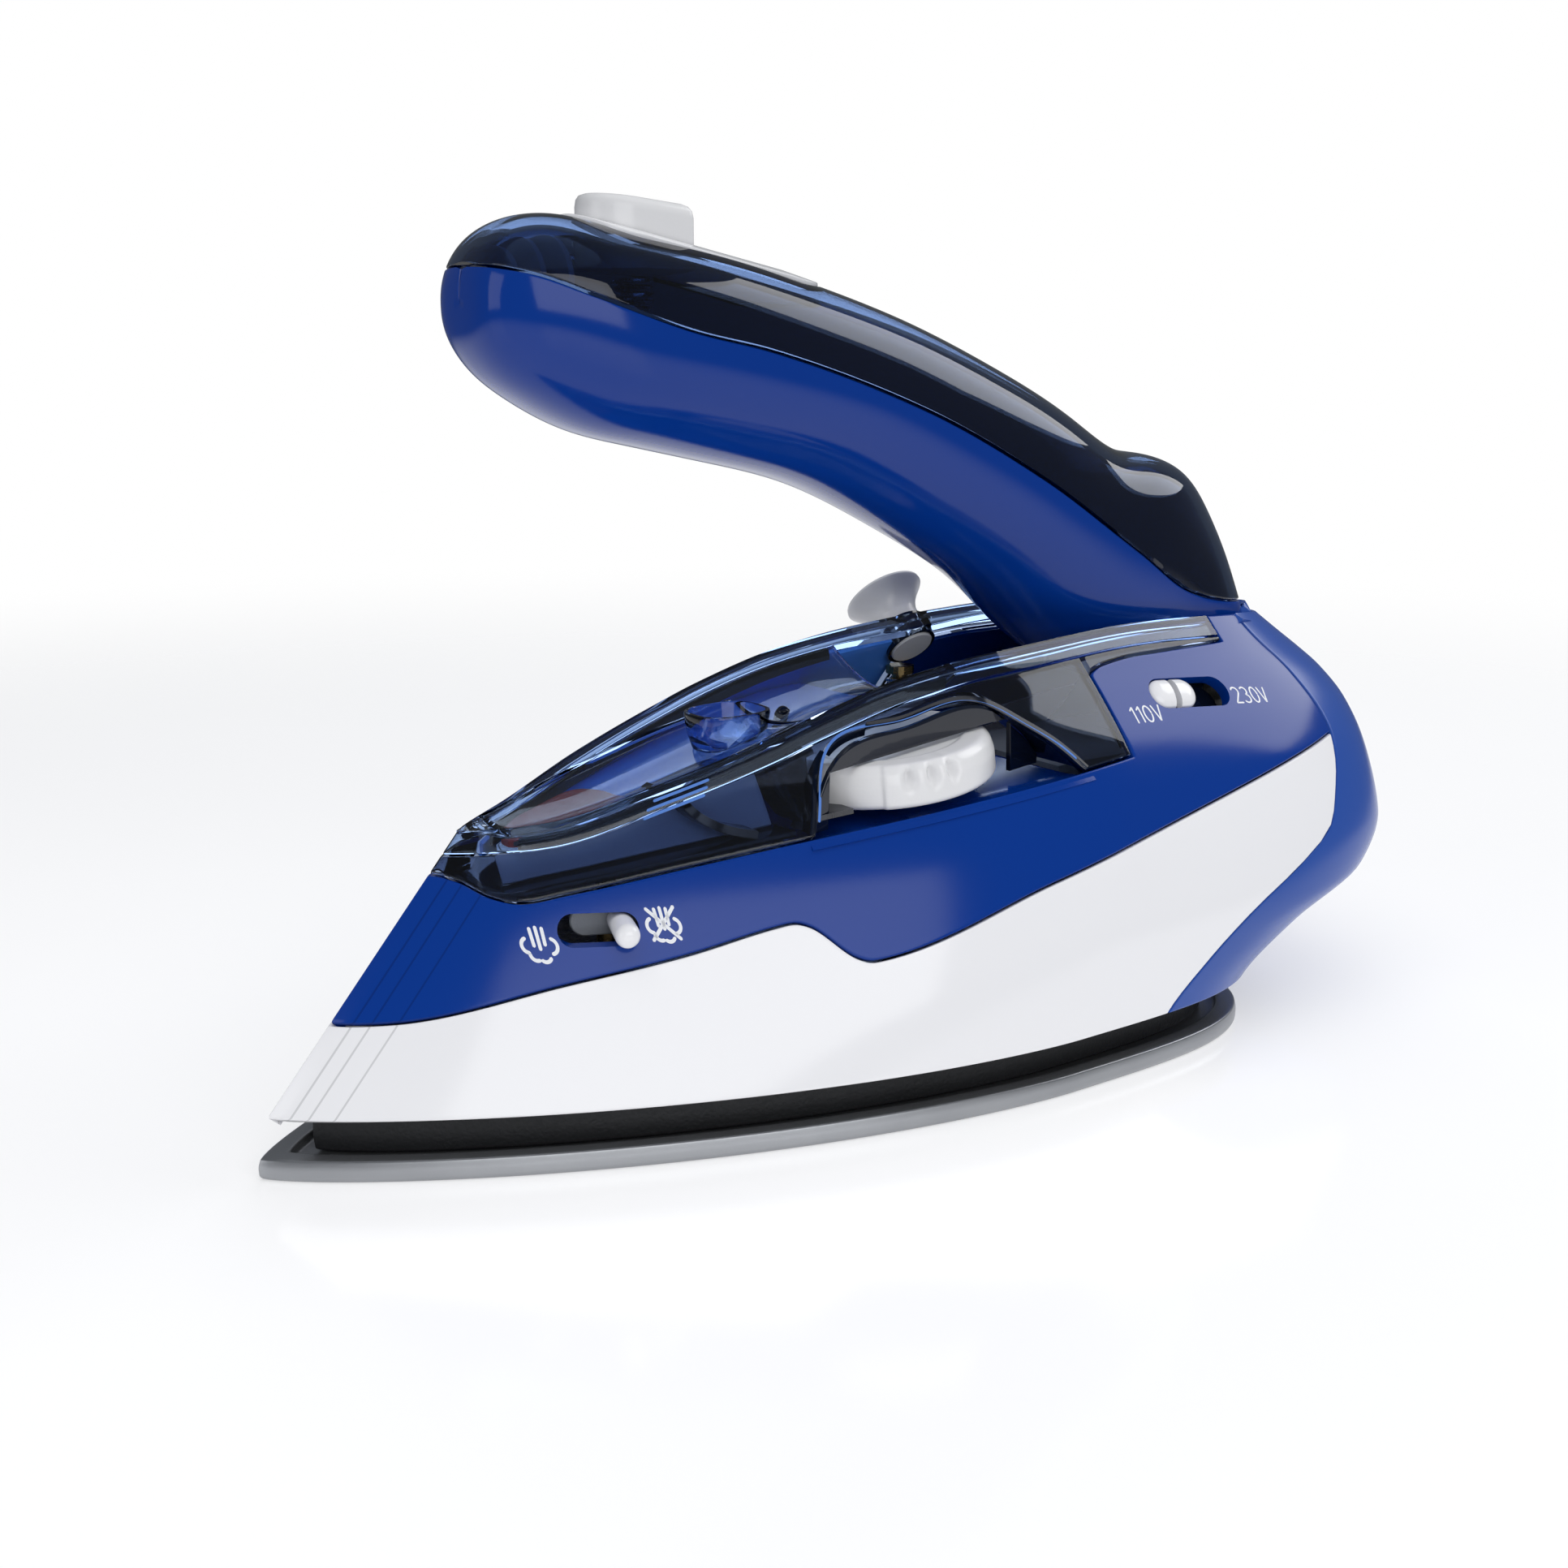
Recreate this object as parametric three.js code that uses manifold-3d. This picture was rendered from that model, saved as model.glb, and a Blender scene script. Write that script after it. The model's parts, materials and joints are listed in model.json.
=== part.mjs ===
// Folding travel steam iron.
// Millimetres, +Z up. The origin is the centre of the soleplate's ironing face.
// The nose points to -X, the heel to +X, and the dial and the steam lever are on the -Y side.

import * as THREE from 'three';
import { mergeVertices } from 'three/addons/utils/BufferGeometryUtils.js';
import Module from 'manifold-3d';

const wasm = await Module();
wasm.setup();

// ---------- driving dimensions ----------

const UP = new THREE.Vector3(0, 0, 1);
const ACROSS = new THREE.Vector3(0, 1, 0);
const BACK = new THREE.Vector3(1, 0, 0);

const SOLE_LENGTH = 165;
const SOLE_HALF_WIDTH = 43.5;
const SOLE_WIDEST_X = 29;
const SOLE_THICKNESS = 3.2;
const RIM_WIDTH = 3;
const GROOVE_DEPTH = 1.2;
const STEAM_HOLE_RADIUS = 1.1;

const SKIRT_Z = 8.75;            // height of the skirt's lower edge
const NOSE_X = -80.7;            // nose of the skirt at its lower edge
const NOSE_LEAN = 0.84;          // how far the nose moves back for each millimetre of height
const WALL = 2.2;
const GAP = 0.3;
const DECK_RIM = 3;              // height of the deck cover's edge band
const DECK_WALL = 1.8;

const WELL_FRONT_X = 27;         // the well in the deck that the handle's root stands in
const WELL_REAR_X = 104.5;
const WELL_HALF_WIDTH = 14.8;

const PLATE_TOP = SOLE_THICKNESS - GROOVE_DEPTH;
const CASTING_TOP = 9.6;
const CASTING_INSET = 5;
const ELEMENT_RADIUS = 2.6;
const ELEMENT_Z = CASTING_TOP + GAP + ELEMENT_RADIUS;
const SHIELD_Z = 20;
const SHIELD_THICKNESS = 1.4;

const PIVOT = { x: 88, z: 62 };  // the handle's hinge axis
const PIN_RADIUS = 2.5;
const HUB_RADIUS = 8;
const HANDLE_WALL = 2;
const HANDLE_SQUARE = 2 / 2.3;   // how far the handle's section is from an ellipse towards a box

const DIAL = { x: 15.2, y: -13.4, z: 48.8, radius: 17.1, height: 6.6, tilt: 0.115 };
const DIAL_AXIS = new THREE.Vector3(-DIAL.tilt, 0, 1).normalize();
const SHAFT_DROP = 25;           // from the dial's centre down to the foot of its shaft
const DIAL_FOOT = {
  x: DIAL.x - DIAL_AXIS.x * SHAFT_DROP,
  y: DIAL.y,
  z: DIAL.z - DIAL_AXIS.z * SHAFT_DROP,
};
const SPINDLE = { x: DIAL_FOOT.x + 0.4, y: DIAL_FOOT.y };
const LEVER = { x: -35, y: -18.5, z: 31.8, peg: 1.8 };
const LEVER_TRAVEL = 7;
const LEVER_ALONG = new THREE.Vector3(-0.928, 0.371, 0);
const LEVER_OUT = new THREE.Vector3(-0.371, -0.928, 0);
const SELECTOR = { x: 65.2, y: -26, z: 54.9, half: 2.2, radius: 2.5 };
const SELECTOR_TRAVEL = 7.5;
const SELECTOR_ALONG = new THREE.Vector3(0.994, 0, -0.106);
const SELECTOR_OUT = new THREE.Vector3(0, -0.76, 0.65);
const PUMP = { x: 47, y: 21, z: 61.2, radius: 7.2, stem: 4, pistonY: 21.6 };
const PUMP_AXIS = new THREE.Vector3(0, 1, 1).normalize();
const VALVE = { x: -27, y: 0 };
const HEEL_SCREW_Y = [-22, 22];
const HEEL_SCREW_Z = 38;
const INLET_Z = 46;
const INLET_RADIUS = 6.5;

const FAR = 200;
const HALF_SPAN = 60;
const OVERSIZE = -0.7;           // how far a cutting body stands outside the shells

const COLOURS = {
  white: [0xf2f2f2, 0.3, 0],
  blue: [0x0b3a96, 0.2, 0],
  smoke: [0x16213c, 0.1, 0],
  steel: [0xb8bcc0, 0.35, 1],
  alloy: [0x9a9da1, 0.45, 1],
  casting: [0x2c2d30, 0.7, 0.4],
  red: [0xa8181c, 0.6, 0],
  brass: [0xb08d4a, 0.4, 1],
  black: [0x1b1b1d, 0.6, 0],
  grey: [0x8b9098, 0.5, 0],
};

// ---------- small helpers ----------

const group = new THREE.Group();
group.name = 'travel_iron';

const lerp = (a, b, t) => a + (b - a) * t;

// A smooth curve through a few points (x, y) that never overshoots them.
function curve(points) {
  const n = points.length;
  const slope = [];
  for (let i = 0; i < n - 1; i++) {
    slope.push((points[i + 1][1] - points[i][1]) / (points[i + 1][0] - points[i][0]));
  }
  const tangent = points.map((_, i) => {
    if (i === 0) return slope[0];
    if (i === n - 1) return slope[n - 2];
    const product = slope[i - 1] * slope[i];
    return product <= 0 ? 0 : (2 * product) / (slope[i - 1] + slope[i]);
  });
  return (x) => {
    if (x <= points[0][0]) return points[0][1];
    if (x >= points[n - 1][0]) return points[n - 1][1];
    let i = 0;
    while (x > points[i + 1][0]) i++;
    const h = points[i + 1][0] - points[i][0];
    const t = (x - points[i][0]) / h;
    const a = 1 - t;
    return a * a * (1 + 2 * t) * points[i][1] + t * t * (3 - 2 * t) * points[i + 1][1]
      + h * t * a * (a * tangent[i] - t * tangent[i + 1]);
  };
}

function toSolid(geometry, matrix) {
  const g = geometry.clone();
  g.deleteAttribute('normal');
  g.deleteAttribute('uv');
  if (matrix) g.applyMatrix4(matrix);
  const merged = mergeVertices(g, 1e-4);
  const index = merged.index.array;
  const kept = [];
  for (let i = 0; i < index.length; i += 3) {
    const [a, b, c] = [index[i], index[i + 1], index[i + 2]];
    if (a !== b && b !== c && a !== c) kept.push(a, b, c);
  }
  return new wasm.Manifold(new wasm.Mesh({
    numProp: 3,
    vertProperties: new Float32Array(merged.attributes.position.array),
    triVerts: new Uint32Array(kept),
  }));
}

function toGeometry(solid) {
  const mesh = solid.getMesh();
  const g = new THREE.BufferGeometry();
  g.setAttribute('position', new THREE.BufferAttribute(new Float32Array(mesh.vertProperties), 3));
  g.setIndex(new THREE.BufferAttribute(new Uint32Array(mesh.triVerts), 1));
  return g;
}

function add(name, solid, colour) {
  const [hex, roughness, metalness] = COLOURS[colour];
  const geometry = toGeometry(solid);
  geometry.computeVertexNormals();
  const material = new THREE.MeshStandardMaterial({ color: hex, roughness, metalness });
  const mesh = new THREE.Mesh(geometry, material);
  mesh.name = name;
  group.add(mesh);
}

const move = (x, y, z) => new THREE.Matrix4().makeTranslation(x, y, z);

// A frame whose Z axis points along a direction, at a place.
function aim(x, y, z, direction) {
  const q = new THREE.Quaternion().setFromUnitVectors(UP, direction.clone().normalize());
  return new THREE.Matrix4().compose(new THREE.Vector3(x, y, z), q, new THREE.Vector3(1, 1, 1));
}

function box(x0, x1, y0, y1, z0, z1) {
  const g = new THREE.BoxGeometry(x1 - x0, y1 - y0, z1 - z0);
  return toSolid(g, move((x0 + x1) / 2, (y0 + y1) / 2, (z0 + z1) / 2));
}

// A turned solid: profile of (radius, height) points from the axis to the axis.
function turned(profile, frame, sides = 28) {
  const g = new THREE.LatheGeometry(profile.map(([r, h]) => new THREE.Vector2(r, h)), sides);
  return toSolid(g, frame.clone().multiply(new THREE.Matrix4().makeRotationX(Math.PI / 2)));
}

function rod(x, y, z, direction, radius, length, sides = 24) {
  return turned([[0, 0], [radius, 0], [radius, length], [0, length]], aim(x, y, z, direction), sides);
}

function tube(x, y, z, direction, outer, inner, length, sides = 24) {
  const profile = [[inner, 0], [outer, 0], [outer, length], [inner, length], [inner, 0]];
  return turned(profile, aim(x, y, z, direction), sides);
}

// A plan outline of (x, y) points between two heights.
function slab(points, z0, z1) {
  const shape = new THREE.Shape(points.map(([x, y]) => new THREE.Vector2(x, y)));
  const g = new THREE.ExtrudeGeometry(shape, { depth: z1 - z0, bevelEnabled: false });
  return toSolid(g, move(0, 0, z0));
}

// A side-view outline of (x, z) points between two values of y.
function sideSlab(points, y0, y1) {
  const shape = new THREE.Shape(points.map(([x, z]) => new THREE.Vector2(x, z)));
  const g = new THREE.ExtrudeGeometry(shape, { depth: y1 - y0, bevelEnabled: false });
  const frame = new THREE.Matrix4().makeRotationX(Math.PI / 2).premultiply(move(0, y1, 0));
  return toSolid(g, frame);
}

// Closed grid: rows of points, each row a closed ring. The first and last rows have shrunk to a line or a
// point, so they need no caps.
function rings(rows) {
  const count = rows[0].length;
  const position = rows.flat().flat();
  const index = [];
  for (let r = 0; r < rows.length - 1; r++) {
    for (let i = 0; i < count; i++) {
      const j = (i + 1) % count;
      const [a, b, c, d] = [r * count + i, r * count + j, (r + 1) * count + j, (r + 1) * count + i];
      index.push(a, b, c, a, c, d);
    }
  }
  const g = new THREE.BufferGeometry();
  g.setAttribute('position', new THREE.Float32BufferAttribute(position, 3));
  g.setIndex(index);
  return g;
}

// ---------- the body's outer surface ----------

const NOSE_POWERS = [2 / 1.643, 2 / 1.202];
const tailAt = curve([[2, 79], [8.7, 83.2], [16.5, 99], [22, 116], [30, 121.5], [40, 121], [48.5, 119.5],
  [54, 116.5], [57, 113.5], [60.5, 109.5], [66, 103]]);
const widestAt = curve([[8.7, 29], [33, 41], [49.5, 49.5], [66, 51]]);
const widthAt = curve([[2, 44.4], [8.7, 44.1], [20, 43.2], [31, 40.6], [43, 35.6], [49.5, 31.4], [56, 25.8],
  [61, 21], [66, 16.6], [70, 13]]);
const squareAt = curve([[8.7, 3.8], [30, 4.3], [66, 3.2]]);
const ridgeAt = curve([[-56, 44.2], [-49, 44.6], [-41, 45.4], [-25, 50], [-8, 55.1], [0, 57.6], [16.5, 61.7],
  [33, 63.8], [66, 65.6], [90, 64.8], [112, 62.6]]);
const valleyDepthAt = curve([[-56, 0], [-41, 1.2], [-25, 3.2], [-8, 4], [2, 4.2], [15, 5.6], [30, 7.4], [60, 7.4],
  [100, 4], [112, 0.5]]);

const noseAt = (z) => NOSE_X + NOSE_LEAN * (z - SKIRT_Z);

// Point of the outline at height z: turn runs 0..1 from the nose to the widest place, 1..2 on to the tail.
function outlinePoint(turn, z, inset) {
  const nose = noseAt(z) + 1.35 * inset;
  const widest = widestAt(z);
  const width = widthAt(z) - inset;
  if (turn <= 1) {
    const angle = turn * Math.PI / 2;
    const along = Math.cos(angle) ** NOSE_POWERS[0];
    return [widest - (widest - nose) * along, width * Math.sin(angle) ** NOSE_POWERS[1]];
  }
  const angle = (2 - turn) * Math.PI / 2;
  const power = 2 / squareAt(z);
  const tail = tailAt(z) - inset;
  return [widest + (tail - widest) * Math.cos(angle) ** power, width * Math.sin(angle) ** power];
}

// Height at which the side of the body meets the deck's ridge.
function ridgeHeight(turn, inset, drop) {
  let low = SKIRT_Z;
  let high = 68;
  for (let i = 0; i < 40; i++) {
    const z = (low + high) / 2;
    const x = outlinePoint(turn, z, inset)[0];
    if (z < ridgeAt(x) - drop) low = z;
    else high = z;
  }
  return low;
}

// The whole body as one solid, drawn in by inset and lowered by drop at the deck.
function bodySolid(inset, floorZ, drop) {
  const STATIONS = 26;
  const LEVELS = 7;
  const ACROSS_STEPS = 6;
  const sideRows = [];
  for (let k = 0; k <= LEVELS; k++) sideRows.push([]);
  const turns = [];
  for (let i = 0; i <= STATIONS; i++) turns.push((2 * i) / STATIONS);
  const left = turns.map((turn) => {
    const top = ridgeHeight(turn, inset, drop);
    return sideRows.map((_, k) => {
      const z = lerp(floorZ, top, k / LEVELS);
      const [x, y] = outlinePoint(turn, z, inset);
      return [x, -y, z];
    });
  });
  const ringAt = (k) => {
    const one = left.map((column) => column[k]);
    const other = one.slice(1, -1).reverse().map(([x, y, z]) => [x, -y, z]);
    return [...one, ...other];
  };
  const rows = [];
  const capRing = (k, share, deck) => ringAt(k).map(([x, y, z]) => {
    const hollow = deck ? valleyDepthAt(x) * (1 - share * share) : 0;
    return [x, y * share, z - hollow];
  });
  for (let j = 0; j <= 1; j++) rows.push(capRing(0, j, false));
  for (let k = 1; k <= LEVELS; k++) rows.push(ringAt(k));
  for (let j = ACROSS_STEPS - 1; j >= 0; j--) rows.push(capRing(LEVELS, j / ACROSS_STEPS, true));
  // The first and last rows have shrunk to a line, whose two sides fall together and are merged.
  return toSolid(rings(rows));
}

// ---------- parting lines, in side view ----------

const WAVE = [[-90, 20.3], [-71.9, 20.3], [-65, 20.7], [-43.6, 25.2], [-27.9, 28.2], [-15.3, 31], [-13, 31.3],
  [-11.2, 30.8], [-5.5, 26], [-3.4, 25.3], [-0.9, 25.5], [27.7, 32.6], [99.8, 45.7], [104, 46.4]];
const TAIL_LINE = [[44, 2], [48.5, 8.7], [58, 15.5], [69, 21.6], [84, 27.6], [92, 31.5], [95.5, 36.6],
  [98.5, 42], [99.6, 46.5], [97.4, 55.3], [93.5, 62], [91, 70]];
const SEAM = [[-70, 38.8], [-55.3, 38.8], [-53, 38.2], [-49.5, 36], [-46.5, 35.3], [-40.4, 36.3], [-24.6, 39.1],
  [-6.8, 41.7], [39.9, 46.8], [46.5, 47.4], [49, 49], [50.2, 53], [49.4, 58.3], [50.5, 59.5], [54, 60.4],
  [62, 61], [84, 61.2], [84.2, 74]];
const RECESS = [[-6.8, 41.7], [-1.8, 52], [0.2, 54], [25.6, 57.9], [27.8, 57.3], [36.3, 51.4], [39.9, 46.9]];

const shift = (points, dx, dz) => points.map(([x, z]) => [x + dx, z + dz]);

const aboveWave = sideSlab([...WAVE, [FAR, 46.4], [FAR, FAR], [-FAR, FAR], [-FAR, 20.3]],
  -HALF_SPAN, HALF_SPAN);
const aboveWaveGap = sideSlab([...shift(WAVE, 0, -GAP), [FAR, 46.1], [FAR, FAR], [-FAR, FAR], [-FAR, 20]],
  -HALF_SPAN, HALF_SPAN);
const behindTail = sideSlab([...TAIL_LINE, [FAR, 70], [FAR, 2]], -HALF_SPAN, HALF_SPAN);
const behindTailGap = sideSlab([...shift(TAIL_LINE, -GAP, 0), [FAR, 70], [FAR, 2]], -HALF_SPAN, HALF_SPAN);
const aboveSeam = sideSlab([...SEAM, [-FAR, 74], [-FAR, 38.8]], -HALF_SPAN, HALF_SPAN);
const aboveSeamGap = sideSlab([...shift(SEAM, GAP, -GAP), [-FAR, 74], [-FAR, 38.5]], -HALF_SPAN, HALF_SPAN);
const recessCut = sideSlab([[-8, 41.5], ...RECESS.slice(1), [39.9, 46.7]], -HALF_SPAN, 5);
const recessLining = sideSlab(
  [[-9.6, 41.4], [-3.2, 52.6], [-0.4, 55.4], [25.8, 59.5], [28.9, 58.6], [37.6, 52.4], [42, 46.9]], -26, 6.5);

const outer = bodySolid(0, SKIRT_Z, 0);
const inner = bodySolid(WALL, SKIRT_Z - 6, DECK_WALL);
const shell = outer.subtract(inner);
const underDeck = bodySolid(OVERSIZE, SKIRT_Z - 6, DECK_RIM);
const underDeckGap = bodySolid(OVERSIZE, SKIRT_Z - 6, DECK_RIM - GAP);

// ---------- soleplate and heater ----------

const NOSE_SHAPE = [1.643, 1.202];
const REAR_SHAPE = [3.9, 3.63];

// The sole's outline, drawn in by inset, as (x, y) points that run round once.
function soleOutline(inset, steps = 18, noseInset = inset * 1.6) {
  const nose = -SOLE_LENGTH / 2 + noseInset;
  const tail = SOLE_LENGTH / 2 - inset;
  const width = SOLE_HALF_WIDTH - inset;
  const one = [];
  for (let i = 0; i <= steps; i++) {
    const angle = (i / steps) * Math.PI / 2;
    const along = Math.cos(angle) ** (2 / NOSE_SHAPE[0]);
    one.push([SOLE_WIDEST_X - (SOLE_WIDEST_X - nose) * along, width * Math.sin(angle) ** (2 / NOSE_SHAPE[1])]);
  }
  const rearSteps = Math.round(steps * 0.6);
  for (let i = rearSteps - 1; i >= 0; i--) {
    const angle = (i / rearSteps) * Math.PI / 2;
    const along = Math.cos(angle) ** (2 / REAR_SHAPE[0]);
    one.push([SOLE_WIDEST_X + (tail - SOLE_WIDEST_X) * along, width * Math.sin(angle) ** (2 / REAR_SHAPE[1])]);
  }
  const left = one.map(([x, y]) => [x, -y]);
  return [...left, ...one.slice(1, -1).reverse()];
}

function soleplate() {
  let plate = slab(soleOutline(0.5), 0, 0.6).add(slab(soleOutline(0), 0.55, SOLE_THICKNESS));
  plate = plate.subtract(slab(soleOutline(RIM_WIDTH), PLATE_TOP, SOLE_THICKNESS + 1));
  const holes = [[-66, 0], [-54, 7], [-54, -7], [-42, 14], [-42, -14], [-28, 20], [-28, -20], [-12, 26], [-12, -26],
    [8, 30], [8, -30], [28, 32], [28, -32]];
  for (const [x, y] of holes) plate = plate.subtract(rod(x, y, -1, UP, STEAM_HOLE_RADIUS, 6, 8));
  add('soleplate', plate, 'alloy');
}

function heater() {
  let casting = slab(soleOutline(CASTING_INSET), PLATE_TOP + GAP, CASTING_TOP);
  const chamber = [[-34, -11], [36, -15], [36, 15], [-34, 11]];
  casting = casting.subtract(slab(chamber, CASTING_TOP - 4.5, CASTING_TOP + 1));
  const notch = box(SOLE_LENGTH / 2 - 12, SOLE_LENGTH / 2, -5, 5, PLATE_TOP, CASTING_TOP + 1);
  add('heater_casting', casting.subtract(notch), 'casting');

  const leg = 22;
  const path = new THREE.CatmullRomCurve3([
    [66, -leg, 0], [40, -leg - 4, 0], [10, -leg - 2, 0], [-24, -13, 0], [-46, -5.5, 0], [-52, 0, 0],
    [-46, 5.5, 0], [-24, 13, 0], [10, leg + 2, 0], [40, leg + 4, 0], [66, leg, 0],
  ].map(([x, y, z]) => new THREE.Vector3(x, y, z)));
  const section = new THREE.Shape();
  section.absarc(0, 0, ELEMENT_RADIUS, 0, Math.PI * 2);
  const tubeShape = new THREE.ExtrudeGeometry(section, { extrudePath: path, steps: 40, curveSegments: 4 });
  add('heating_element', toSolid(tubeShape, move(0, 0, ELEMENT_Z)), 'steel');
  for (const [side, y] of [['left', -leg], ['right', leg]]) {
    add(`element_terminal_${side}`, box(66.5, 73, y - 0.4, y + 0.4, ELEMENT_Z - 2, ELEMENT_Z + 2), 'brass');
  }

  const coverSide = [[-30, 7], [-22, 8.5], [10, 15], [38, 17]];
  let cover = slab([...coverSide.map(([x, y]) => [x, -y]), ...coverSide.slice().reverse()],
    CASTING_TOP + GAP, CASTING_TOP + 1.6);
  cover = cover.subtract(rod(VALVE.x, VALVE.y, CASTING_TOP, UP, 3.6, 4));
  add('steam_chamber_cover', cover, 'steel');
}

// ---------- shells ----------

function shellPieces() {
  const deckAndTank = shell.intersect(aboveSeam);
  const well = slab(wellOutline(0), 45, 90);
  const pumpHole = rod(PUMP.x, PUMP.y - 6, PUMP.z - 6, PUMP_AXIS, PUMP.stem + 0.6, 20);

  // skirt
  add('lower_skirt', shell.subtract(aboveWaveGap).subtract(behindTailGap), 'white');

  // main shell, with the ledge under the dial, the lever's slot and the selector's slot
  const within = bodySolid(0.4, SKIRT_Z, 0.4);
  const ledge = sideSlab([[-6.5, 41.2], [39.6, 46.3], [39.6, 44.3], [-6.5, 39.2]], -HALF_SPAN, 6.3);
  const behindPump = (gap) => box(49 - gap, 100, 0, HALF_SPAN, 40, 90);
  let main = shell.subtract(aboveSeamGap.subtract(behindPump(0).intersect(underDeck)));
  main = main.add(ledge.intersect(within));
  main = main.intersect(aboveWave).subtract(behindTailGap).subtract(well);
  main = main.subtract(rod(DIAL_FOOT.x, DIAL_FOOT.y, DIAL_FOOT.z, DIAL_AXIS, 3.6, 60));
  main = main.subtract(leverSlot()).subtract(selectorSlot()).subtract(pumpHole);
  add('main_shell', main, 'blue');

  // rear cover
  let rear = shell.intersect(behindTail).subtract(well);
  for (const y of HEEL_SCREW_Y) {
    rear = rear.add(rod(106, y, HEEL_SCREW_Z, BACK, 4.4, 12));
    rear = rear.subtract(rod(100, y, HEEL_SCREW_Z, BACK, 1.9, 30));
    rear = rear.subtract(rod(115.2, y, HEEL_SCREW_Z, BACK, 3.4, 30));
  }
  rear = rear.subtract(rod(90, 0, INLET_Z, BACK, INLET_RADIUS + GAP, 40));
  add('rear_cover', rear, 'blue');

  // tank
  const floor = sideSlab([[-47.5, 35.7], [-40.4, 36.6], [-24.6, 39.4], [-8.2, 41.8], [-7, 43.4], [-24.6, 41],
    [-40.4, 38.2], [-49.5, 37.5]], -HALF_SPAN, HALF_SPAN);
  const backWall = sideSlab([[-9.5, 41.6], [-3.5, 54], [-1, 56.5], [0, 54.6], [-2, 52], [-7, 41.9]],
    -HALF_SPAN, HALF_SPAN);
  let tank = deckAndTank.intersect(underDeck).subtract(behindPump(GAP));
  const extra = floor.add(backWall).add(recessLining).intersect(within).intersect(underDeck).intersect(aboveSeam);
  tank = tank.add(extra).subtract(recessCut).subtract(pumpHole);
  tank = tank.subtract(rod(VALVE.x, VALVE.y, 30, UP, 1.9, 12));
  tank = tank.subtract(slab(wellOutline(1.5), 45, 90));
  add('water_tank', tank, 'smoke');

  // deck cover and lid
  let deck = deckAndTank.subtract(underDeckGap).subtract(well).subtract(pumpHole);
  deck = deck.subtract(slab(lidOutline(GAP), 30, 70));
  add('deck_cover', deck, 'smoke');

  const lidDepth = bodySolid(0, SKIRT_Z - 6, 1.6);
  let lid = outer.subtract(lidDepth).intersect(slab(lidOutline(0), 30, 70));
  const tab = sideSlab([[-8, 49.5], [-11, 55.4], [-9.5, 56.4], [1, 56.4], [2, 53]], -6, 6);
  const scoop = sideSlab([[-12, 60], [-9.6, 53.6], [-6, 52.2], [-1.5, 54.4], [0.2, 60]], -4.8, 4.8);
  lid = lid.add(tab.subtract(outer.subtract(box(-60, 60, -6, 6, 40, 90)))).subtract(scoop);
  add('filler_lid', lid, 'smoke');
}

// The well in the deck: straight sides that close in round the back of the handle's root.
function wellOutline(grow) {
  const side = [[WELL_FRONT_X, WELL_HALF_WIDTH], [90, WELL_HALF_WIDTH], [98, 12.9], [102, 10.5], [WELL_REAR_X, 6]];
  return [...side.map(([x, y]) => [x, -y - grow]), ...side.map(([x, y]) => [x, y + grow]).reverse()];
}

function lidOutline(grow) {
  const front = -45 - grow;
  const back = 2.2 + grow;
  const points = [];
  const STEPS = 10;
  const widthAtX = curve([[-45, 4.4], [-38, 7.4], [-28, 9.6], [-12, 10.8], [2.2, 9.6]]);
  for (let i = 0; i <= STEPS; i++) {
    const x = lerp(front, back, i / STEPS);
    points.push([x, -widthAtX(x) - grow]);
  }
  return [...points, ...points.map(([x, y]) => [x, -y]).reverse()];
}

// A frame with Z along a direction, and X along another, at a place.
function basis(place, along, out) {
  const z = out.clone().normalize();
  const x = along.clone().sub(z.clone().multiplyScalar(along.dot(z))).normalize();
  const y = new THREE.Vector3().crossVectors(z, x);
  return new THREE.Matrix4().makeBasis(x, y, z).setPosition(...place);
}

// A block with round ends in a frame: half the straight length along X, radius, and its Z range.
function stadium(frame, half, radius, z0, z1) {
  const shape = new THREE.Shape();
  shape.absarc(half, 0, radius, -Math.PI / 2, Math.PI / 2);
  shape.absarc(-half, 0, radius, Math.PI / 2, Math.PI * 1.5);
  const g = new THREE.ExtrudeGeometry(shape, { depth: z1 - z0, bevelEnabled: false, curveSegments: 10 });
  return toSolid(g, frame.clone().multiply(move(0, 0, z0)));
}

const leverFrame = (slide) => basis(
  [LEVER.x + LEVER_ALONG.x * slide, LEVER.y + LEVER_ALONG.y * slide, LEVER.z], LEVER_ALONG, LEVER_OUT);

const leverSlot = () => stadium(leverFrame(LEVER_TRAVEL / 2), LEVER_TRAVEL / 2, LEVER.peg + 0.35, -6, 6);

const selectorFrame = (slide) => basis([SELECTOR.x + SELECTOR_ALONG.x * slide, SELECTOR.y,
  SELECTOR.z + SELECTOR_ALONG.z * slide], SELECTOR_ALONG, SELECTOR_OUT);

const selectorSlot = () => stadium(selectorFrame(SELECTOR_TRAVEL / 2), SELECTOR.half + SELECTOR_TRAVEL / 2,
  SELECTOR.radius + 0.4, -5, 5);

// ---------- controls ----------

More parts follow.
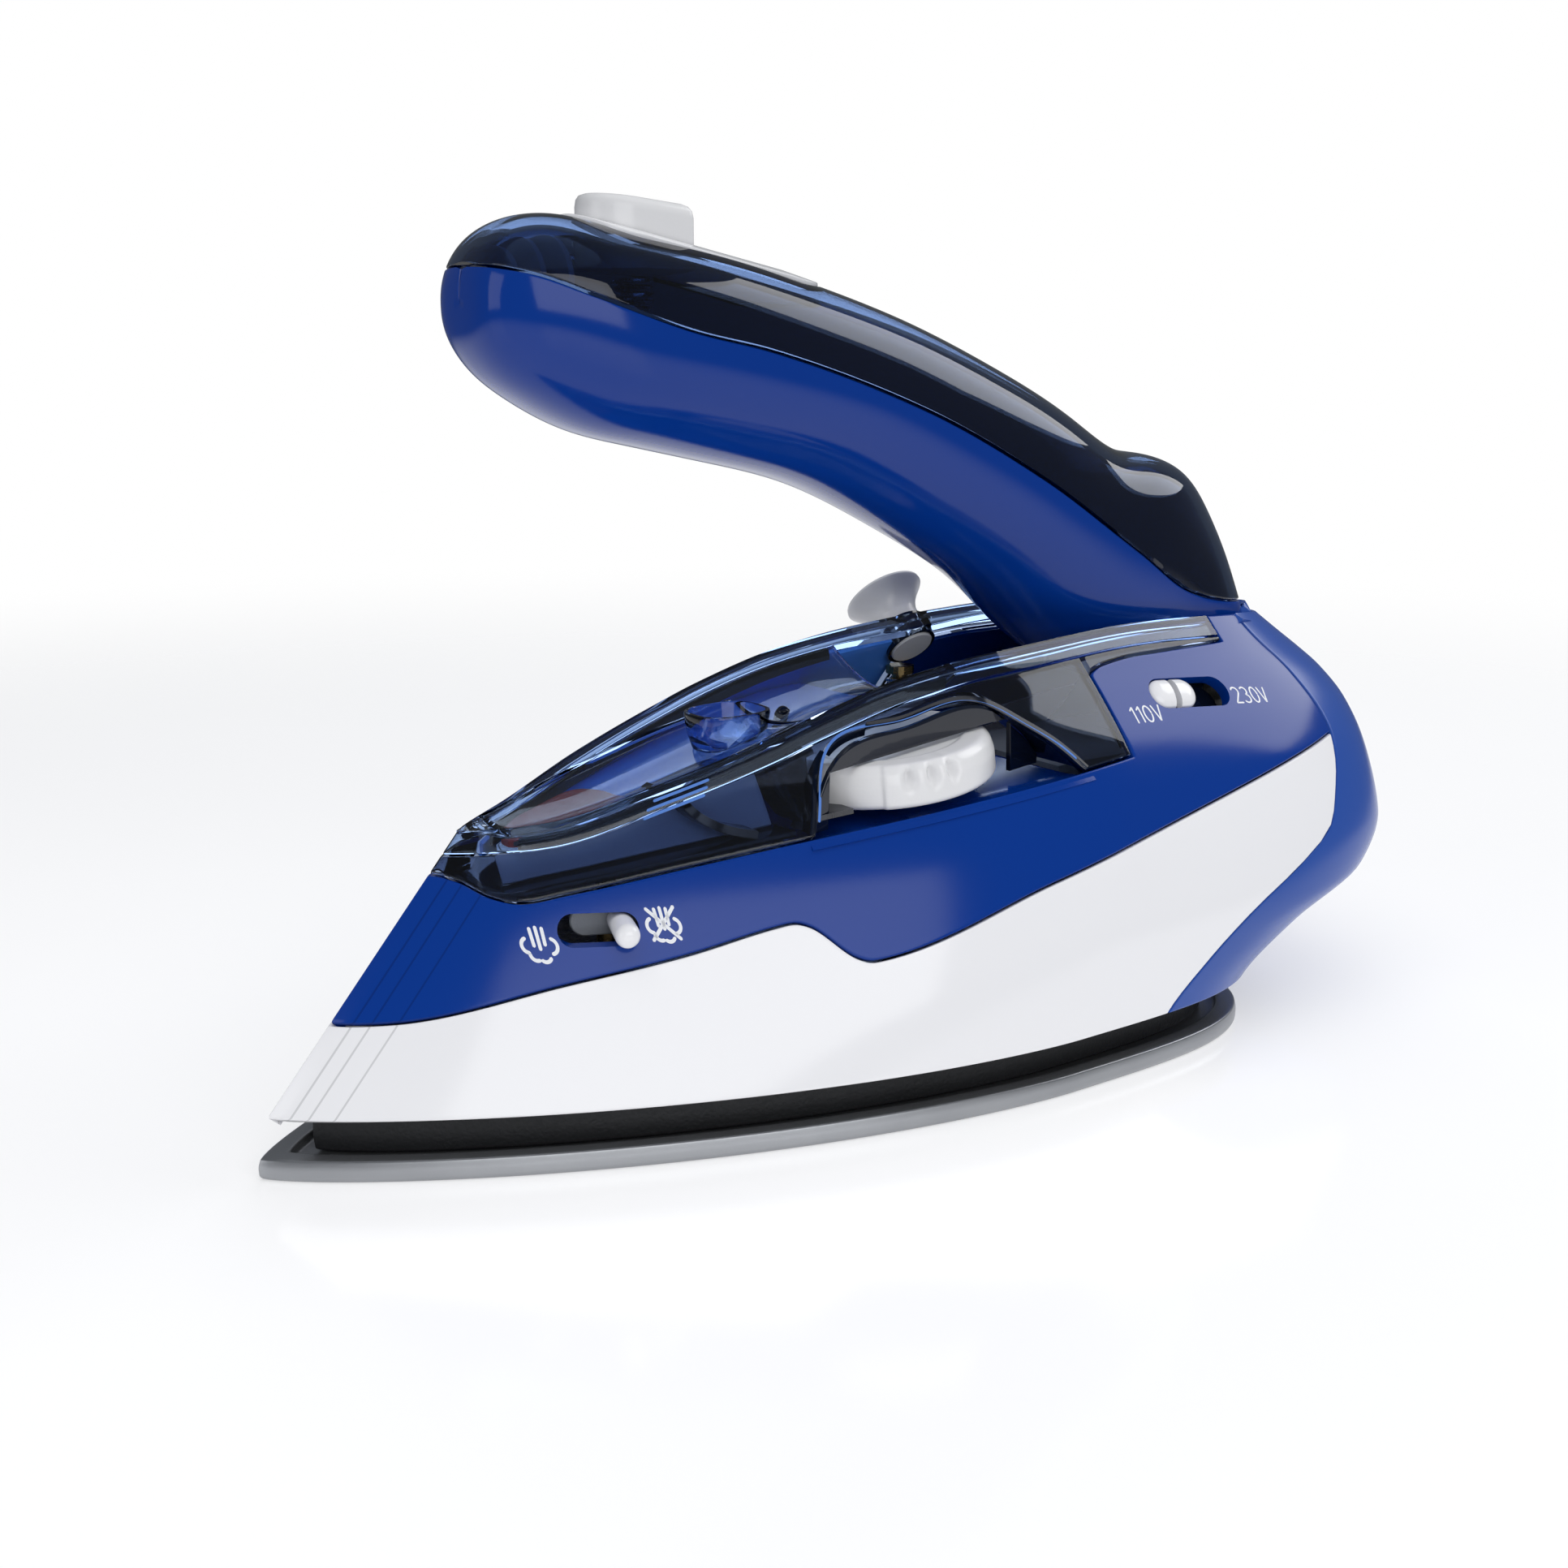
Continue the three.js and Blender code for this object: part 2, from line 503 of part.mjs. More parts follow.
function controls() {
  // dial: a disc with a knurled rim of shallow grips, on its shaft
  const dialFrame = aim(DIAL.x, DIAL.y, DIAL.z, DIAL_AXIS);
  const half = DIAL.height / 2;
  const r = DIAL.radius;
  let dial = turned([[0, -half], [r - 0.8, -half], [r, -half + 0.8], [r, half - 1.4], [r - 1.6, half], [0, half]],
    dialFrame, 48);
  for (let k = 0; k < 3; k++) {
    const angle = -Math.PI / 2 + 0.25 + 0.28 * k;
    const notch = dialFrame.clone().multiply(move(r * Math.cos(angle), r * Math.sin(angle), half));
    dial = dial.subtract(turned([[0, -3], [1.1, -2.4], [1.3, 0], [1.3, 3], [0, 3]], notch, 12));
  }
  add('temperature_dial', dial, 'white');
  const shaftLength = SHAFT_DROP - half - GAP;
  add('dial_shaft', rod(DIAL_FOOT.x, DIAL_FOOT.y, DIAL_FOOT.z, DIAL_AXIS, 2.8, shaftLength), 'black');
  add('thermostat', tube(SPINDLE.x, SPINDLE.y, CASTING_TOP + 2, UP, 9, 2.2, 6.5), 'steel');
  add('thermostat_spindle', rod(SPINDLE.x, SPINDLE.y, CASTING_TOP + 3, UP, 1.8, 9.8), 'brass');
  add('thermal_fuse', rod(-12, 3.5, CASTING_TOP + 4.2, ACROSS, 2, 7, 16), 'steel');

  // steam lever and the valve that it lifts
  const lever = leverFrame(0);
  const peg = stadium(lever, 0.01, LEVER.peg, -4.9, 4.6);
  const carrier = stadium(lever, 2, 2.9, -6.6, -4.8);
  add('steam_lever', peg.add(carrier), 'white');
  const NEEDLE_TOP = 37;
  let needle = rod(VALVE.x, VALVE.y, 13, UP, 1.5, NEEDLE_TOP - 13, 16);
  needle = needle.add(rod(VALVE.x, VALVE.y, 26, UP, 3, 1.6, 16));
  add('needle_valve', needle, 'brass');
  add('valve_seat', tube(VALVE.x, VALVE.y, CASTING_TOP + GAP, UP, 3.2, 1.9, 6, 16), 'brass');

  // voltage selector
  const knob = selectorFrame(0);
  let selector = stadium(knob, SELECTOR.half, SELECTOR.radius, -3.2, 0.7);
  selector = selector.add(stadium(knob, SELECTOR.half + 1.2, SELECTOR.radius + 1.2, -4.6, -3.1));
  const slit = toSolid(new THREE.BoxGeometry(1.1, 12, 1.6), knob.clone().multiply(move(0, 0, 0.7)));
  add('voltage_selector', selector.subtract(slit), 'white');
  const body = selectorFrame(SELECTOR_TRAVEL / 2).multiply(move(0, 0, -7.6));
  add('voltage_switch', toSolid(new THREE.BoxGeometry(19, 8, 5), body), 'black');

  // steam shot pump
  const reach = aim(PUMP.x, PUMP.y, PUMP.z, PUMP_AXIS);
  add('steam_shot_button', turned([[0, -4], [PUMP.stem, -4], [PUMP.stem, 3.2], [PUMP.stem + 0.7, 4.4],
    [PUMP.radius - 0.6, 6.6], [PUMP.radius, 7.3], [PUMP.radius - 0.5, 7.9], [0, 8.4]], reach, 32), 'white');
  const { x, pistonY: y } = PUMP;
  add('pump_piston', rod(x, y, 34, UP, 1.4, 19.8, 16).add(rod(x, y, 53.6, UP, 2.5, 1.4, 16))
    .add(rod(x, y, 38, UP, 2.9, 3, 16)), 'brass');
  add('pump_barrel', tube(x, y, 30, UP, 4.6, 3.2, 18, 20).add(tube(x, y, 46.4, UP, 3.6, 1.8, 1.6, 20)), 'grey');
  add('pump_spring', spring(x, y, 48.3, 5, 2.2, 4), 'steel');
}

function spring(x, y, z, length, radius, turns) {
  const WIRE = 0.35;
  class Helix extends THREE.Curve {
    getPoint(t) {
      const angle = t * turns * Math.PI * 2;
      return new THREE.Vector3(radius * Math.cos(angle), radius * Math.sin(angle), lerp(WIRE, length - WIRE, t));
    }
  }
  const section = new THREE.Shape();
  section.absarc(0, 0, WIRE, 0, Math.PI * 2);
  const g = new THREE.ExtrudeGeometry(section, { extrudePath: new Helix(), steps: turns * 12, curveSegments: 3 });
  return toSolid(g, move(x, y, z));
}

// ---------- handle ----------

// Pairs of side-view points on the handle's top and bottom, with its half-width between them.
const HANDLE = [
  [[-47.4, 117], [-47.4, 115.5], 1.5],
  [[-46.8, 121], [-46.8, 111.2], 6.5],
  [[-44.4, 124.9], [-44.4, 107.4], 10],
  [[-37.4, 128], [-39.6, 103.6], 13.6],
  [[-28, 127.2], [-32.4, 99.8], 15.8],
  [[-12, 124.4], [-22, 96.8], 16.8],
  [[4, 120.7], [-8, 93.8], 16.6],
  [[24, 115], [9, 89.4], 15.6],
  [[43, 107.8], [25, 82.2], 14.8],
  [[60.4, 99.6], [37, 75.8], 14.4],
  [[72, 93.6], [45, 70.4], 14.2],
  [[80, 92.2], [52, 64.4], 14.1],
  [[88, 89.8], [61, 58], 14],
  [[93.2, 84.6], [72, 53], 13.6],
  [[97.2, 77.6], [84, 50.6], 13],
  [[100, 70.6], [95, 53], 11.4],
  [[102, 65.2], [99.6, 57], 8.6],
  [[101.8, 62.4], [101, 60.2], 3],
];
const HANDLE_SEAM = [[-60, 121.6], [-50, 121.6], [-43, 120.4], [-35, 117.4], [-20.4, 112.7], [-8.3, 110.2],
  [21.3, 101.3], [46.6, 90], [69.4, 76.8], [82, 69.4], [90, 67.2], [96, 66.4], [120, 65]];

function handleSolid(inset) {
  const SIDES = 18;
  const rows = [];
  for (const [top, bottom, width] of HANDLE) {
    const [dx, dz] = [top[0] - bottom[0], top[1] - bottom[1]];
    const half = Math.hypot(dx, dz) / 2;
    if (half <= inset + 0.6 || width <= inset + 0.6) continue;
    const shrink = (half - inset) / half;
    const row = [];
    for (let i = 0; i < SIDES; i++) {
      const angle = -(i / SIDES) * Math.PI * 2;
      const [c, s] = [Math.cos(angle), Math.sin(angle)];
      const up = Math.sign(c) * Math.abs(c) ** HANDLE_SQUARE * shrink / 2;
      const out = Math.sign(s) * Math.abs(s) ** HANDLE_SQUARE * (width - inset);
      row.push([(top[0] + bottom[0]) / 2 + dx * up, out, (top[1] + bottom[1]) / 2 + dz * up]);
    }
    rows.push(row);
  }
  const centre = (row) => row.map(() => [0, 1, 2].map((k) => row.reduce((sum, p) => sum + p[k], 0) / SIDES));
  return toSolid(rings([centre(rows[0]), ...rows, centre(rows[rows.length - 1])]));
}

function handle() {
  const solid = handleSolid(0);
  const hollow = handleSolid(HANDLE_WALL);
  const skin = solid.subtract(hollow);
  const above = sideSlab([...HANDLE_SEAM, [120, 160], [-60, 160]], -HALF_SPAN, HALF_SPAN);
  const aboveGap = sideSlab([...shift(HANDLE_SEAM, 0, -GAP), [120, 160], [-60, 160]], -HALF_SPAN, HALF_SPAN);

  // lower shell with its hinge bosses
  let bosses = rod(PIVOT.x, -13.4, PIVOT.z, ACROSS, 5.6, 26.8);
  bosses = bosses.subtract(box(60, 120, -6.1, 6.1, 40, 90)).intersect(solid);
  let lower = skin.add(bosses).subtract(aboveGap);
  lower = lower.subtract(box(PIVOT.x - 16, 104.4, -6.1, 6.1, 40, PIVOT.z));
  lower = lower.subtract(rod(PIVOT.x, -20, PIVOT.z, ACROSS, PIN_RADIUS + GAP, 40));
  add('handle_lower_shell', lower, 'blue');

  const panelZone = (grow) => stadium(move(-10.6, 0, 0), 12.4 + grow, 8.4 + grow, 117, 140);
  const upper = skin.intersect(above).subtract(panelZone(GAP));
  add('handle_upper_cover', upper, 'smoke');
  const panel = skin.intersect(above).intersect(panelZone(0));
  add('handle_panel', panel.subtract(buttonSolid(GAP, 100, 140)), 'white');
  add('release_button', buttonSolid(0, 120.8, 131.3), 'white');
  add('release_spring', spring(-20.5, 0, 115.6, 4.9, 2.6, 4), 'steel');
  add('release_rod', rod(-14, 0, 109, new THREE.Vector3(88, 0, -35), 1.8, 88, 12), 'grey');
  add('hinge_pin', rod(PIVOT.x, -12.8, PIVOT.z, ACROSS, PIN_RADIUS, 25.6), 'steel');
}

// The release button: round at the front, flat at the back.
function buttonSolid(grow, z0, z1) {
  const shape = new THREE.Shape();
  const radius = 6 + grow;
  shape.moveTo(-13.4 + grow, -radius);
  shape.lineTo(-13.4 + grow, radius);
  shape.absarc(-22.6, 0, radius, Math.PI / 2, Math.PI * 1.5);
  const g = new THREE.ExtrudeGeometry(shape, { depth: z1 - z0, bevelEnabled: false, curveSegments: 12 });
  return toSolid(g, move(0, 0, z0));
}

// ---------- inner structure ----------

function structure() {
  const shieldPoints = [];
  const STEPS = 40;
  for (let i = 0; i <= STEPS; i++) {
    const [x, y] = outlinePoint(2 * i / STEPS, SHIELD_Z + 2, WALL + 1.6);
    shieldPoints.push([Math.min(x, 92), -y]);
  }
  const mirrored = shieldPoints.slice(1, -1).map(([x, y]) => [x, -y]).reverse();
  let shield = slab([...shieldPoints, ...mirrored], SHIELD_Z, SHIELD_Z + SHIELD_THICKNESS);
  shield = shield.subtract(rod(SPINDLE.x, SPINDLE.y, SHIELD_Z - 3, UP, 5, 8));
  shield = shield.subtract(rod(VALVE.x, VALVE.y, SHIELD_Z - 3, UP, 4, 8));
  const posts = { front: [-38, 0], left: [52, -12], right: [52, 12] };
  for (const [x, y] of Object.values(posts)) shield = shield.subtract(rod(x, y, SHIELD_Z - 3, UP, 1.9, 8));
  add('heat_shield', shield, 'steel');
  for (const [name, [x, y]] of Object.entries(posts)) {
    const height = SHIELD_Z - CASTING_TOP - 2 * GAP;
    add(`spacer_${name}`, tube(x, y, CASTING_TOP + GAP, UP, 3.4, 1.9, height, 16), 'brass');
    add(`casting_screw_${name}`, rod(x, y, CASTING_TOP + 0.6, UP, 1.6, 12.3, 14)
      .add(rod(x, y, SHIELD_Z + 1.7, UP, 3, 1.8, 14)), 'steel');
  }

  // the bracket that carries the handle
  let bracket = box(52, 100, -14, 14, 40, 42.5);
  bracket = bracket.add(sideSlab([[PIVOT.x - HUB_RADIUS, 42], [PIVOT.x - HUB_RADIUS, PIVOT.z],
    [PIVOT.x + HUB_RADIUS, PIVOT.z], [PIVOT.x + HUB_RADIUS, 42]], -5.5, 5.5));
  bracket = bracket.add(rod(PIVOT.x, -5.5, PIVOT.z, ACROSS, HUB_RADIUS, 11));
  for (const y of [-11, 11]) bracket = bracket.add(box(56, 62, y - 2, y + 2, 21.8, 41));
  bracket = bracket.subtract(rod(PIVOT.x, -20, PIVOT.z, ACROSS, 4.5, 40));
  add('hinge_bracket', bracket, 'grey');
  for (const [side, y] of [['left', -5.4], ['right', 0.3]]) {
    add(`hinge_bush_${side}`, tube(PIVOT.x, y, PIVOT.z, ACROSS, 4.2, PIN_RADIUS + GAP, 5.1, 20), 'brass');
  }

  add('terminal_block', box(66, 84, -9, 9, 21.8, 32), 'black');
  const inlet = tube(104, 0, INLET_Z, BACK, INLET_RADIUS, 3.8, 16.2, 28);
  add('cord_inlet_bush', inlet, 'black');
  for (const [side, y] of [['left', HEEL_SCREW_Y[0]], ['right', HEEL_SCREW_Y[1]]]) {
    const along = BACK;
    add(`heel_screw_${side}`, rod(103, y, HEEL_SCREW_Z, along, 1.6, 12.6, 14)
      .add(rod(115.5, y, HEEL_SCREW_Z, along, 3, 1.8, 18)), 'steel');
  }
  add('filler_seal', slab(lidOutline(-1.6), 30, 70).subtract(slab(lidOutline(-3.4), 29, 71))
    .intersect(box(-60, -18, -20, 20, 30, 70))
    .intersect(bodySolid(0, SKIRT_Z - 6, 1.9)).subtract(bodySolid(0, SKIRT_Z - 8, 3.2)), 'red');
}

soleplate();
heater();
shellPieces();
controls();
handle();
structure();

export default group;
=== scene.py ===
"""Folding travel steam iron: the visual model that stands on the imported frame.

Shapes are worked out in millimetres and put into Blender in metres.
The nose points to -X, the heel to +X, and the dial is on the -Y side.
"""

import json
import math

import bpy
import numpy as np
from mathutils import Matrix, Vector


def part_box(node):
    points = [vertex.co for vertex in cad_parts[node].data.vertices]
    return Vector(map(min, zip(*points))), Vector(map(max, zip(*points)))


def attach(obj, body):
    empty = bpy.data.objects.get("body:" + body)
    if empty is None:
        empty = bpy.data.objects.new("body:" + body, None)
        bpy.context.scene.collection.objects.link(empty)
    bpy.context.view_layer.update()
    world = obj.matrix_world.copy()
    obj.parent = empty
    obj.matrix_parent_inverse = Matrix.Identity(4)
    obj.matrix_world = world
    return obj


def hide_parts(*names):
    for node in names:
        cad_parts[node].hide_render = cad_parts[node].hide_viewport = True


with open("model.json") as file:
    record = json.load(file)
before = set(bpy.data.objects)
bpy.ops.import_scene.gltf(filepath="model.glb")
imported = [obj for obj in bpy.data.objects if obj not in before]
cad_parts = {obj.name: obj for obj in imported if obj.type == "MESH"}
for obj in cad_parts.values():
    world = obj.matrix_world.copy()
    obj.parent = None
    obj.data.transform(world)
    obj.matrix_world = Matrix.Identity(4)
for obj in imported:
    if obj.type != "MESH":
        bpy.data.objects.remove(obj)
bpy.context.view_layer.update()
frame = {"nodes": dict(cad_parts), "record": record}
MM = 0.001
SHARP_ANGLE = 38    # degrees between faces past which an edge shades as a crease

# ---------- curves ----------


def smooth_curve(points, blur=1.5):
    """A curve through (x, y) points that never overshoots: cubic pieces whose slope at a point is the
    harmonic mean of the slopes on its two sides, then averaged over a window of 2 x blur millimetres."""
    x, y = np.array(points, float).T
    slope = np.diff(y) / np.diff(x)
    tangent = np.zeros(len(x))
    tangent[0], tangent[-1] = slope[0], slope[-1]
    same = slope[:-1] * slope[1:] > 0
    both = np.where(same, slope[:-1] + slope[1:], 1.0)
    tangent[1:-1] = np.where(same, 2 * slope[:-1] * slope[1:] / both, 0)
    step = 0.1
    table_x = np.arange(x[0] - 4 * blur - 1, x[-1] + 4 * blur + 1, step)
    i = np.clip(np.searchsorted(x, table_x, side="right") - 1, 0, len(x) - 2)
    h = x[i + 1] - x[i]
    t = (table_x - x[i]) / h
    a = 1 - t
    inside = a * a * (1 + 2 * t) * y[i] + t * t * (3 - 2 * t) * y[i + 1]
    inside = inside + h * t * a * (a * tangent[i] - t * tangent[i + 1])
    before = y[0] + tangent[0] * (table_x - x[0])
    after = y[-1] + tangent[-1] * (table_x - x[-1])
    table_y = np.where(table_x < x[0], before, np.where(table_x > x[-1], after, inside))
    if blur > 0:
        n = max(int(round(blur / step)), 1)
        window = np.hanning(2 * n + 3)[1:-1]
        table_y = np.convolve(np.pad(table_y, n, mode="edge"), window / window.sum(), mode="valid")
    return lambda at: np.interp(at, table_x, table_y)


def spline(points, at):
    """A natural cubic spline through rows of numbers, spaced by the distance between the rows, read at
    places from 0 to 1 along it."""
    points = np.array(points, float)
    chord = np.concatenate([[0], np.cumsum(np.linalg.norm(np.diff(points, axis=0), axis=1))])
    t = chord / chord[-1]
    n = len(t)
    h = np.diff(t)
    matrix = np.eye(n)
    right = np.zeros_like(points)
    inner = np.arange(1, n - 1)
    matrix[inner, inner - 1] = h[:-1]
    matrix[inner, inner] = 2 * (h[:-1] + h[1:])
    matrix[inner, inner + 1] = h[1:]
    slope = np.diff(points, axis=0) / h[:, None]
    right[1:-1] = 6 * np.diff(slope, axis=0)
    bend = np.linalg.solve(matrix, right)
    at = np.asarray(at, float)
    i = np.clip(np.searchsorted(t, at, side="right") - 1, 0, n - 2)
    w = h[i][:, None]
    b = (at - t[i])[:, None] / w
    a = 1 - b
    curved = (a**3 - a) * bend[i] + (b**3 - b) * bend[i + 1]
    return a * points[i] + b * points[i + 1] + curved * w * w / 6


def steps(length, cell, fine_start=False, fine_end=False):
    """Places from 0 to 1 along a length, a cell apart, with two close ones at an end whose edge is rounded."""
    count = max(int(round(length / cell)), 2)
    places = np.linspace(0, 1, count + 1)
    fine = np.array([0.09, 0.2, 0.36]) / max(length, 2.0)
    if fine_start:
        places = np.concatenate([[0], fine, places[1:]])
    if fine_end:
        places = np.concatenate([places[:-1], 1 - fine[::-1], [1]])
    return np.unique(places)


# ---------- the body's outer surface ----------

SKIRT_Z = 8.75
NOSE_X = -80.7
NOSE_LEAN = 0.84
OUTLINE_X_POWER = 2 / 1.643
OUTLINE_Y_POWER = 2 / 1.202
DECK_RIM = 3.0
GAP = 0.3

tail_at = smooth_curve([[2, 79], [8.7, 83.2], [16.5, 99], [22, 116], [30, 121.5], [40, 121], [48.5, 119.5],
                        [54, 116.5], [57, 113.5], [60.5, 109.5], [66, 103]], 1)
widest_at = smooth_curve([[8.7, 29], [33, 41], [49.5, 49.5], [66, 51]], 3)
width_at = smooth_curve([[2, 44.4], [8.7, 44.1], [20, 43.2], [31, 40.6], [43, 35.6], [49.5, 31.4], [56, 25.8],
                         [61, 21], [66, 16.6], [70, 13]], 2)
square_at = smooth_curve([[8.7, 3.8], [30, 4.3], [66, 3.2]], 3)
ridge_at = smooth_curve([[-56, 44.2], [-49, 44.6], [-41, 45.4], [-25, 50], [-8, 55.1], [0, 57.6], [16.5, 61.7],
                         [33, 63.8], [66, 65.6], [90, 64.8], [112, 62.6]], 2)
valley_at = smooth_curve([[-56, 0], [-41, 1.2], [-25, 3.2], [-8, 4], [2, 4.2], [15, 5.6], [30, 7.4], [60, 7.4],
                          [100, 4], [112, 0.5]], 2)
wave_at = smooth_curve([[-90, 20.3], [-71.9, 20.3], [-65, 20.7], [-43.6, 25.2], [-27.9, 28.2], [-15.3, 31],
                        [-13, 31.3], [-11.2, 30.8], [-5.5, 26], [-3.4, 25.3], [-0.9, 25.5], [27.7, 32.6],
                        [99.8, 45.7], [104, 46.4]], 0.8)
seam_front_at = smooth_curve([[-70, 38.8], [-55.3, 38.8], [-53, 38.2], [-49.5, 36], [-46.5, 35.3],
                              [-40.4, 36.3], [-24.6, 39.1], [-6.8, 41.7], [39.9, 46.8], [52, 48]], 0.8)
seam_rear_at = smooth_curve([[48, 58.4], [49.6, 58.9], [50.6, 59.6], [54, 60.4], [62, 61], [86, 61.2]], 0.3)
recess_at = smooth_curve([[-8.5, 38], [-6.8, 41.7], [-1.8, 52], [0.2, 54], [25.6, 57.9], [27.8, 57.3],
                          [36.3, 51.4], [39.9, 46.9], [42, 44]], 0.5)
tail_line_at = smooth_curve([[2, 44], [8.7, 48.5], [15.5, 58], [21.6, 69], [27.6, 84], [31.5, 92], [36.6, 95.5],
                             [42, 98.5], [46.5, 99.6], [55.3, 97.4], [62, 93.5], [70, 91]], 1)


def nose_at(z):
    """Where the leaning nose line lies at a height."""
    return NOSE_X + NOSE_LEAN * (z - SKIRT_Z)


def outline(turn, z, inset=0.0):
    """The body's outline at a height. Turn 0..1 runs from the nose to the widest place, with x falling back as
    a power of the cosine and y as one of the sine; turn 1..2 runs on to the tail round a squared ellipse."""
    nose = nose_at(z) + 1.35 * inset
    widest = widest_at(z)
    width = width_at(z) - inset
    tail = tail_at(z) - inset
    front = np.clip(turn, 0, 1) * math.pi / 2
    back = (2 - np.clip(turn, 1, 2)) * math.pi / 2
    power = 2 / square_at(z)
    cos = np.clip(np.cos(front), 0, 1)
    x_front = widest - (widest - nose) * cos**OUTLINE_X_POWER
    y_front = width * np.sin(front) ** OUTLINE_Y_POWER
    cos = np.clip(np.cos(back), 0, 1)
    x_back = widest + (tail - widest) * cos**power
    y_back = width * np.clip(np.sin(back), 0, 1) ** power
    return np.where(turn <= 1, x_front, x_back), np.where(turn <= 1, y_front, y_back)


def half_width(x, z, inset=0.0):
    """How far the body stands out sideways at x and z: the turn whose outline passes through x, by halving."""
    x, z = np.broadcast_arrays(np.asarray(x, float), np.asarray(z, float))
    low = np.zeros(x.shape)
    high = np.full(x.shape, 2.0)
    for _ in range(34):
        middle = (low + high) / 2
        before = outline(middle, z, inset)[0] < x
        low = np.where(before, middle, low)
        high = np.where(before, high, middle)
    return outline(low, z, inset)[1]


# ---------- surfaces and walls ----------


class Sheet:
    """Grids of points, joined along the borders they share into one surface."""

    def __init__(self):
        self.points = []
        self.faces = []
        self.count = 0

    def add(self, grid, flip=False):
        """Takes a grid of points in. Its faces look along column direction x row direction, or the other way."""
        rows, columns = grid.shape[:2]
        index = np.arange(rows * columns).reshape(rows, columns) + self.count
        quads = np.stack([index[:-1, :-1], index[:-1, 1:], index[1:, 1:], index[1:, :-1]], -1).reshape(-1, 4)
        self.points.append(grid.reshape(-1, 3))
        self.faces.append(quads[:, ::-1] if flip else quads)
        self.count += rows * columns
        return self

    def joined(self):
        """The points, those at the same place made one, and the faces."""
        points = np.concatenate(self.points)
        _, first, back = np.unique(np.round(points, 3), axis=0, return_index=True, return_inverse=True)
        return points[first], back.reshape(-1)[np.concatenate(self.faces)]


def edge_list(faces):
    """Each face's edges in the order it runs round them, as (from, to), leaving out those of no length."""
    edges = np.concatenate([faces[:, [k, (k + 1) % 4]] for k in range(4)])
    return edges[edges[:, 0] != edges[:, 1]]


def border_edges(faces, count):
    """The edges that only one face uses."""
    edges = edge_list(faces)
    key = edges.min(axis=1).astype(np.int64) * count + edges.max(axis=1)
    _, back, uses = np.unique(key, return_inverse=True, return_counts=True)
    return edges[uses[back.reshape(-1)] == 1]


def point_normals(points, faces):
    """Each point's normal: the sum of its faces' crossed diagonals, made one long."""
    across = np.cross(points[faces[:, 2]] - points[faces[:, 0]], points[faces[:, 3]] - points[faces[:, 1]])
    total = np.zeros_like(points)
    for k in range(4):
        np.add.at(total, faces[:, k], across)
    return total / np.maximum(np.linalg.norm(total, axis=1, keepdims=True), 1e-12)


def wall(sheet, thickness, round_edge=0.3):
    """A closed wall from a sheet: the sheet, a second one a thickness below it along its normals, and a band
    that joins their borders. Within round_edge of a border the sheet sinks along a quarter circle. The
    thickness may be a function of x."""
    points, faces = sheet.joined()
    if callable(thickness):
        thickness = thickness(points[:, :1])
    normals = point_normals(points, faces)
    border = border_edges(faces, len(points))
    outer = points.copy()
    if round_edge > 0:
        near = np.zeros(len(points), bool)
        near[border[:, 0]] = True
        for _ in range(4):
            near[faces[near[faces].any(axis=1)]] = True
        index = np.flatnonzero(near)
        edge = points[np.unique(border)]
        distance = np.concatenate([np.sqrt(((part[:, None] - edge[None]) ** 2).sum(-1)).min(1)
                                   for part in np.array_split(points[index], len(index) // 2000 + 1)])
        left = np.clip(round_edge - distance, 0, round_edge)
        sink = round_edge - np.sqrt(round_edge**2 - left**2)
        outer[index] = outer[index] - normals[index] * sink[:, None]
    inner = points - normals * thickness
    n = len(points)
    a, b = border.T
    band = np.stack([b, a, a + n, b + n], -1)
    return np.concatenate([outer, inner]), np.concatenate([faces, faces[:, ::-1] + n, band])


def new_thing(name, data):
    """An object made from its data and put into the scene."""
    thing = bpy.data.objects.new(name, data)
    bpy.context.scene.collection.objects.link(thing)
    return thing


def shade(mesh, sharp=SHARP_ANGLE):
    """Smooth shading, with a crease where two faces turn by more than an angle in degrees."""
    mesh.polygons.foreach_set("use_smooth", np.ones(len(mesh.polygons), bool))
    mesh.set_sharp_from_angle(angle=math.radians(sharp))


def piece(name, shape, body, finish, replaces=(), sharp=SHARP_ANGLE):
    """One finished piece from a sheet, or from points in millimetres and faces of four points, where a repeated
    point makes a triangle. It rides on a body and stands for the CAD nodes that it replaces."""
    points, faces = shape.joined() if isinstance(shape, Sheet) else shape
    doubled = (faces == np.roll(faces, -1, axis=1)).sum(axis=1)
    faces = faces[doubled <= 1]
    doubled = doubled[doubled <= 1] == 1
    corners = faces.copy()
    keep = np.ones(faces.shape, bool)
    keep[doubled] = faces[doubled] != np.roll(faces[doubled], -1, axis=1)
    sizes = keep.sum(axis=1)
    starts = np.concatenate([[0], np.cumsum(sizes)[:-1]])
    mesh = bpy.data.meshes.new(name)
    mesh.vertices.add(len(points))
    mesh.vertices.foreach_set("co", (points * MM).astype(np.float32).ravel())
    mesh.loops.add(int(sizes.sum()))
    mesh.loops.foreach_set("vertex_index", corners[keep].astype(np.int32))
    mesh.polygons.add(len(faces))
    mesh.polygons.foreach_set("loop_start", starts.astype(np.int32))
    mesh.update(calc_edges=True)
    mesh.validate()
    shade(mesh, sharp)
    mesh.materials.append(finish)
    thing = new_thing(name, mesh)
    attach(thing, body)
    if replaces:
        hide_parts(*replaces)
    return thing


def mirrored(grid):
    """The same points on the other side of the middle plane."""
    return grid * np.array([1, -1, 1])


def surface_grid(rows_at, columns_at):
    """Two arrays over a grid: one place per row and one per column."""
    return np.meshgrid(rows_at, columns_at, indexing="ij")


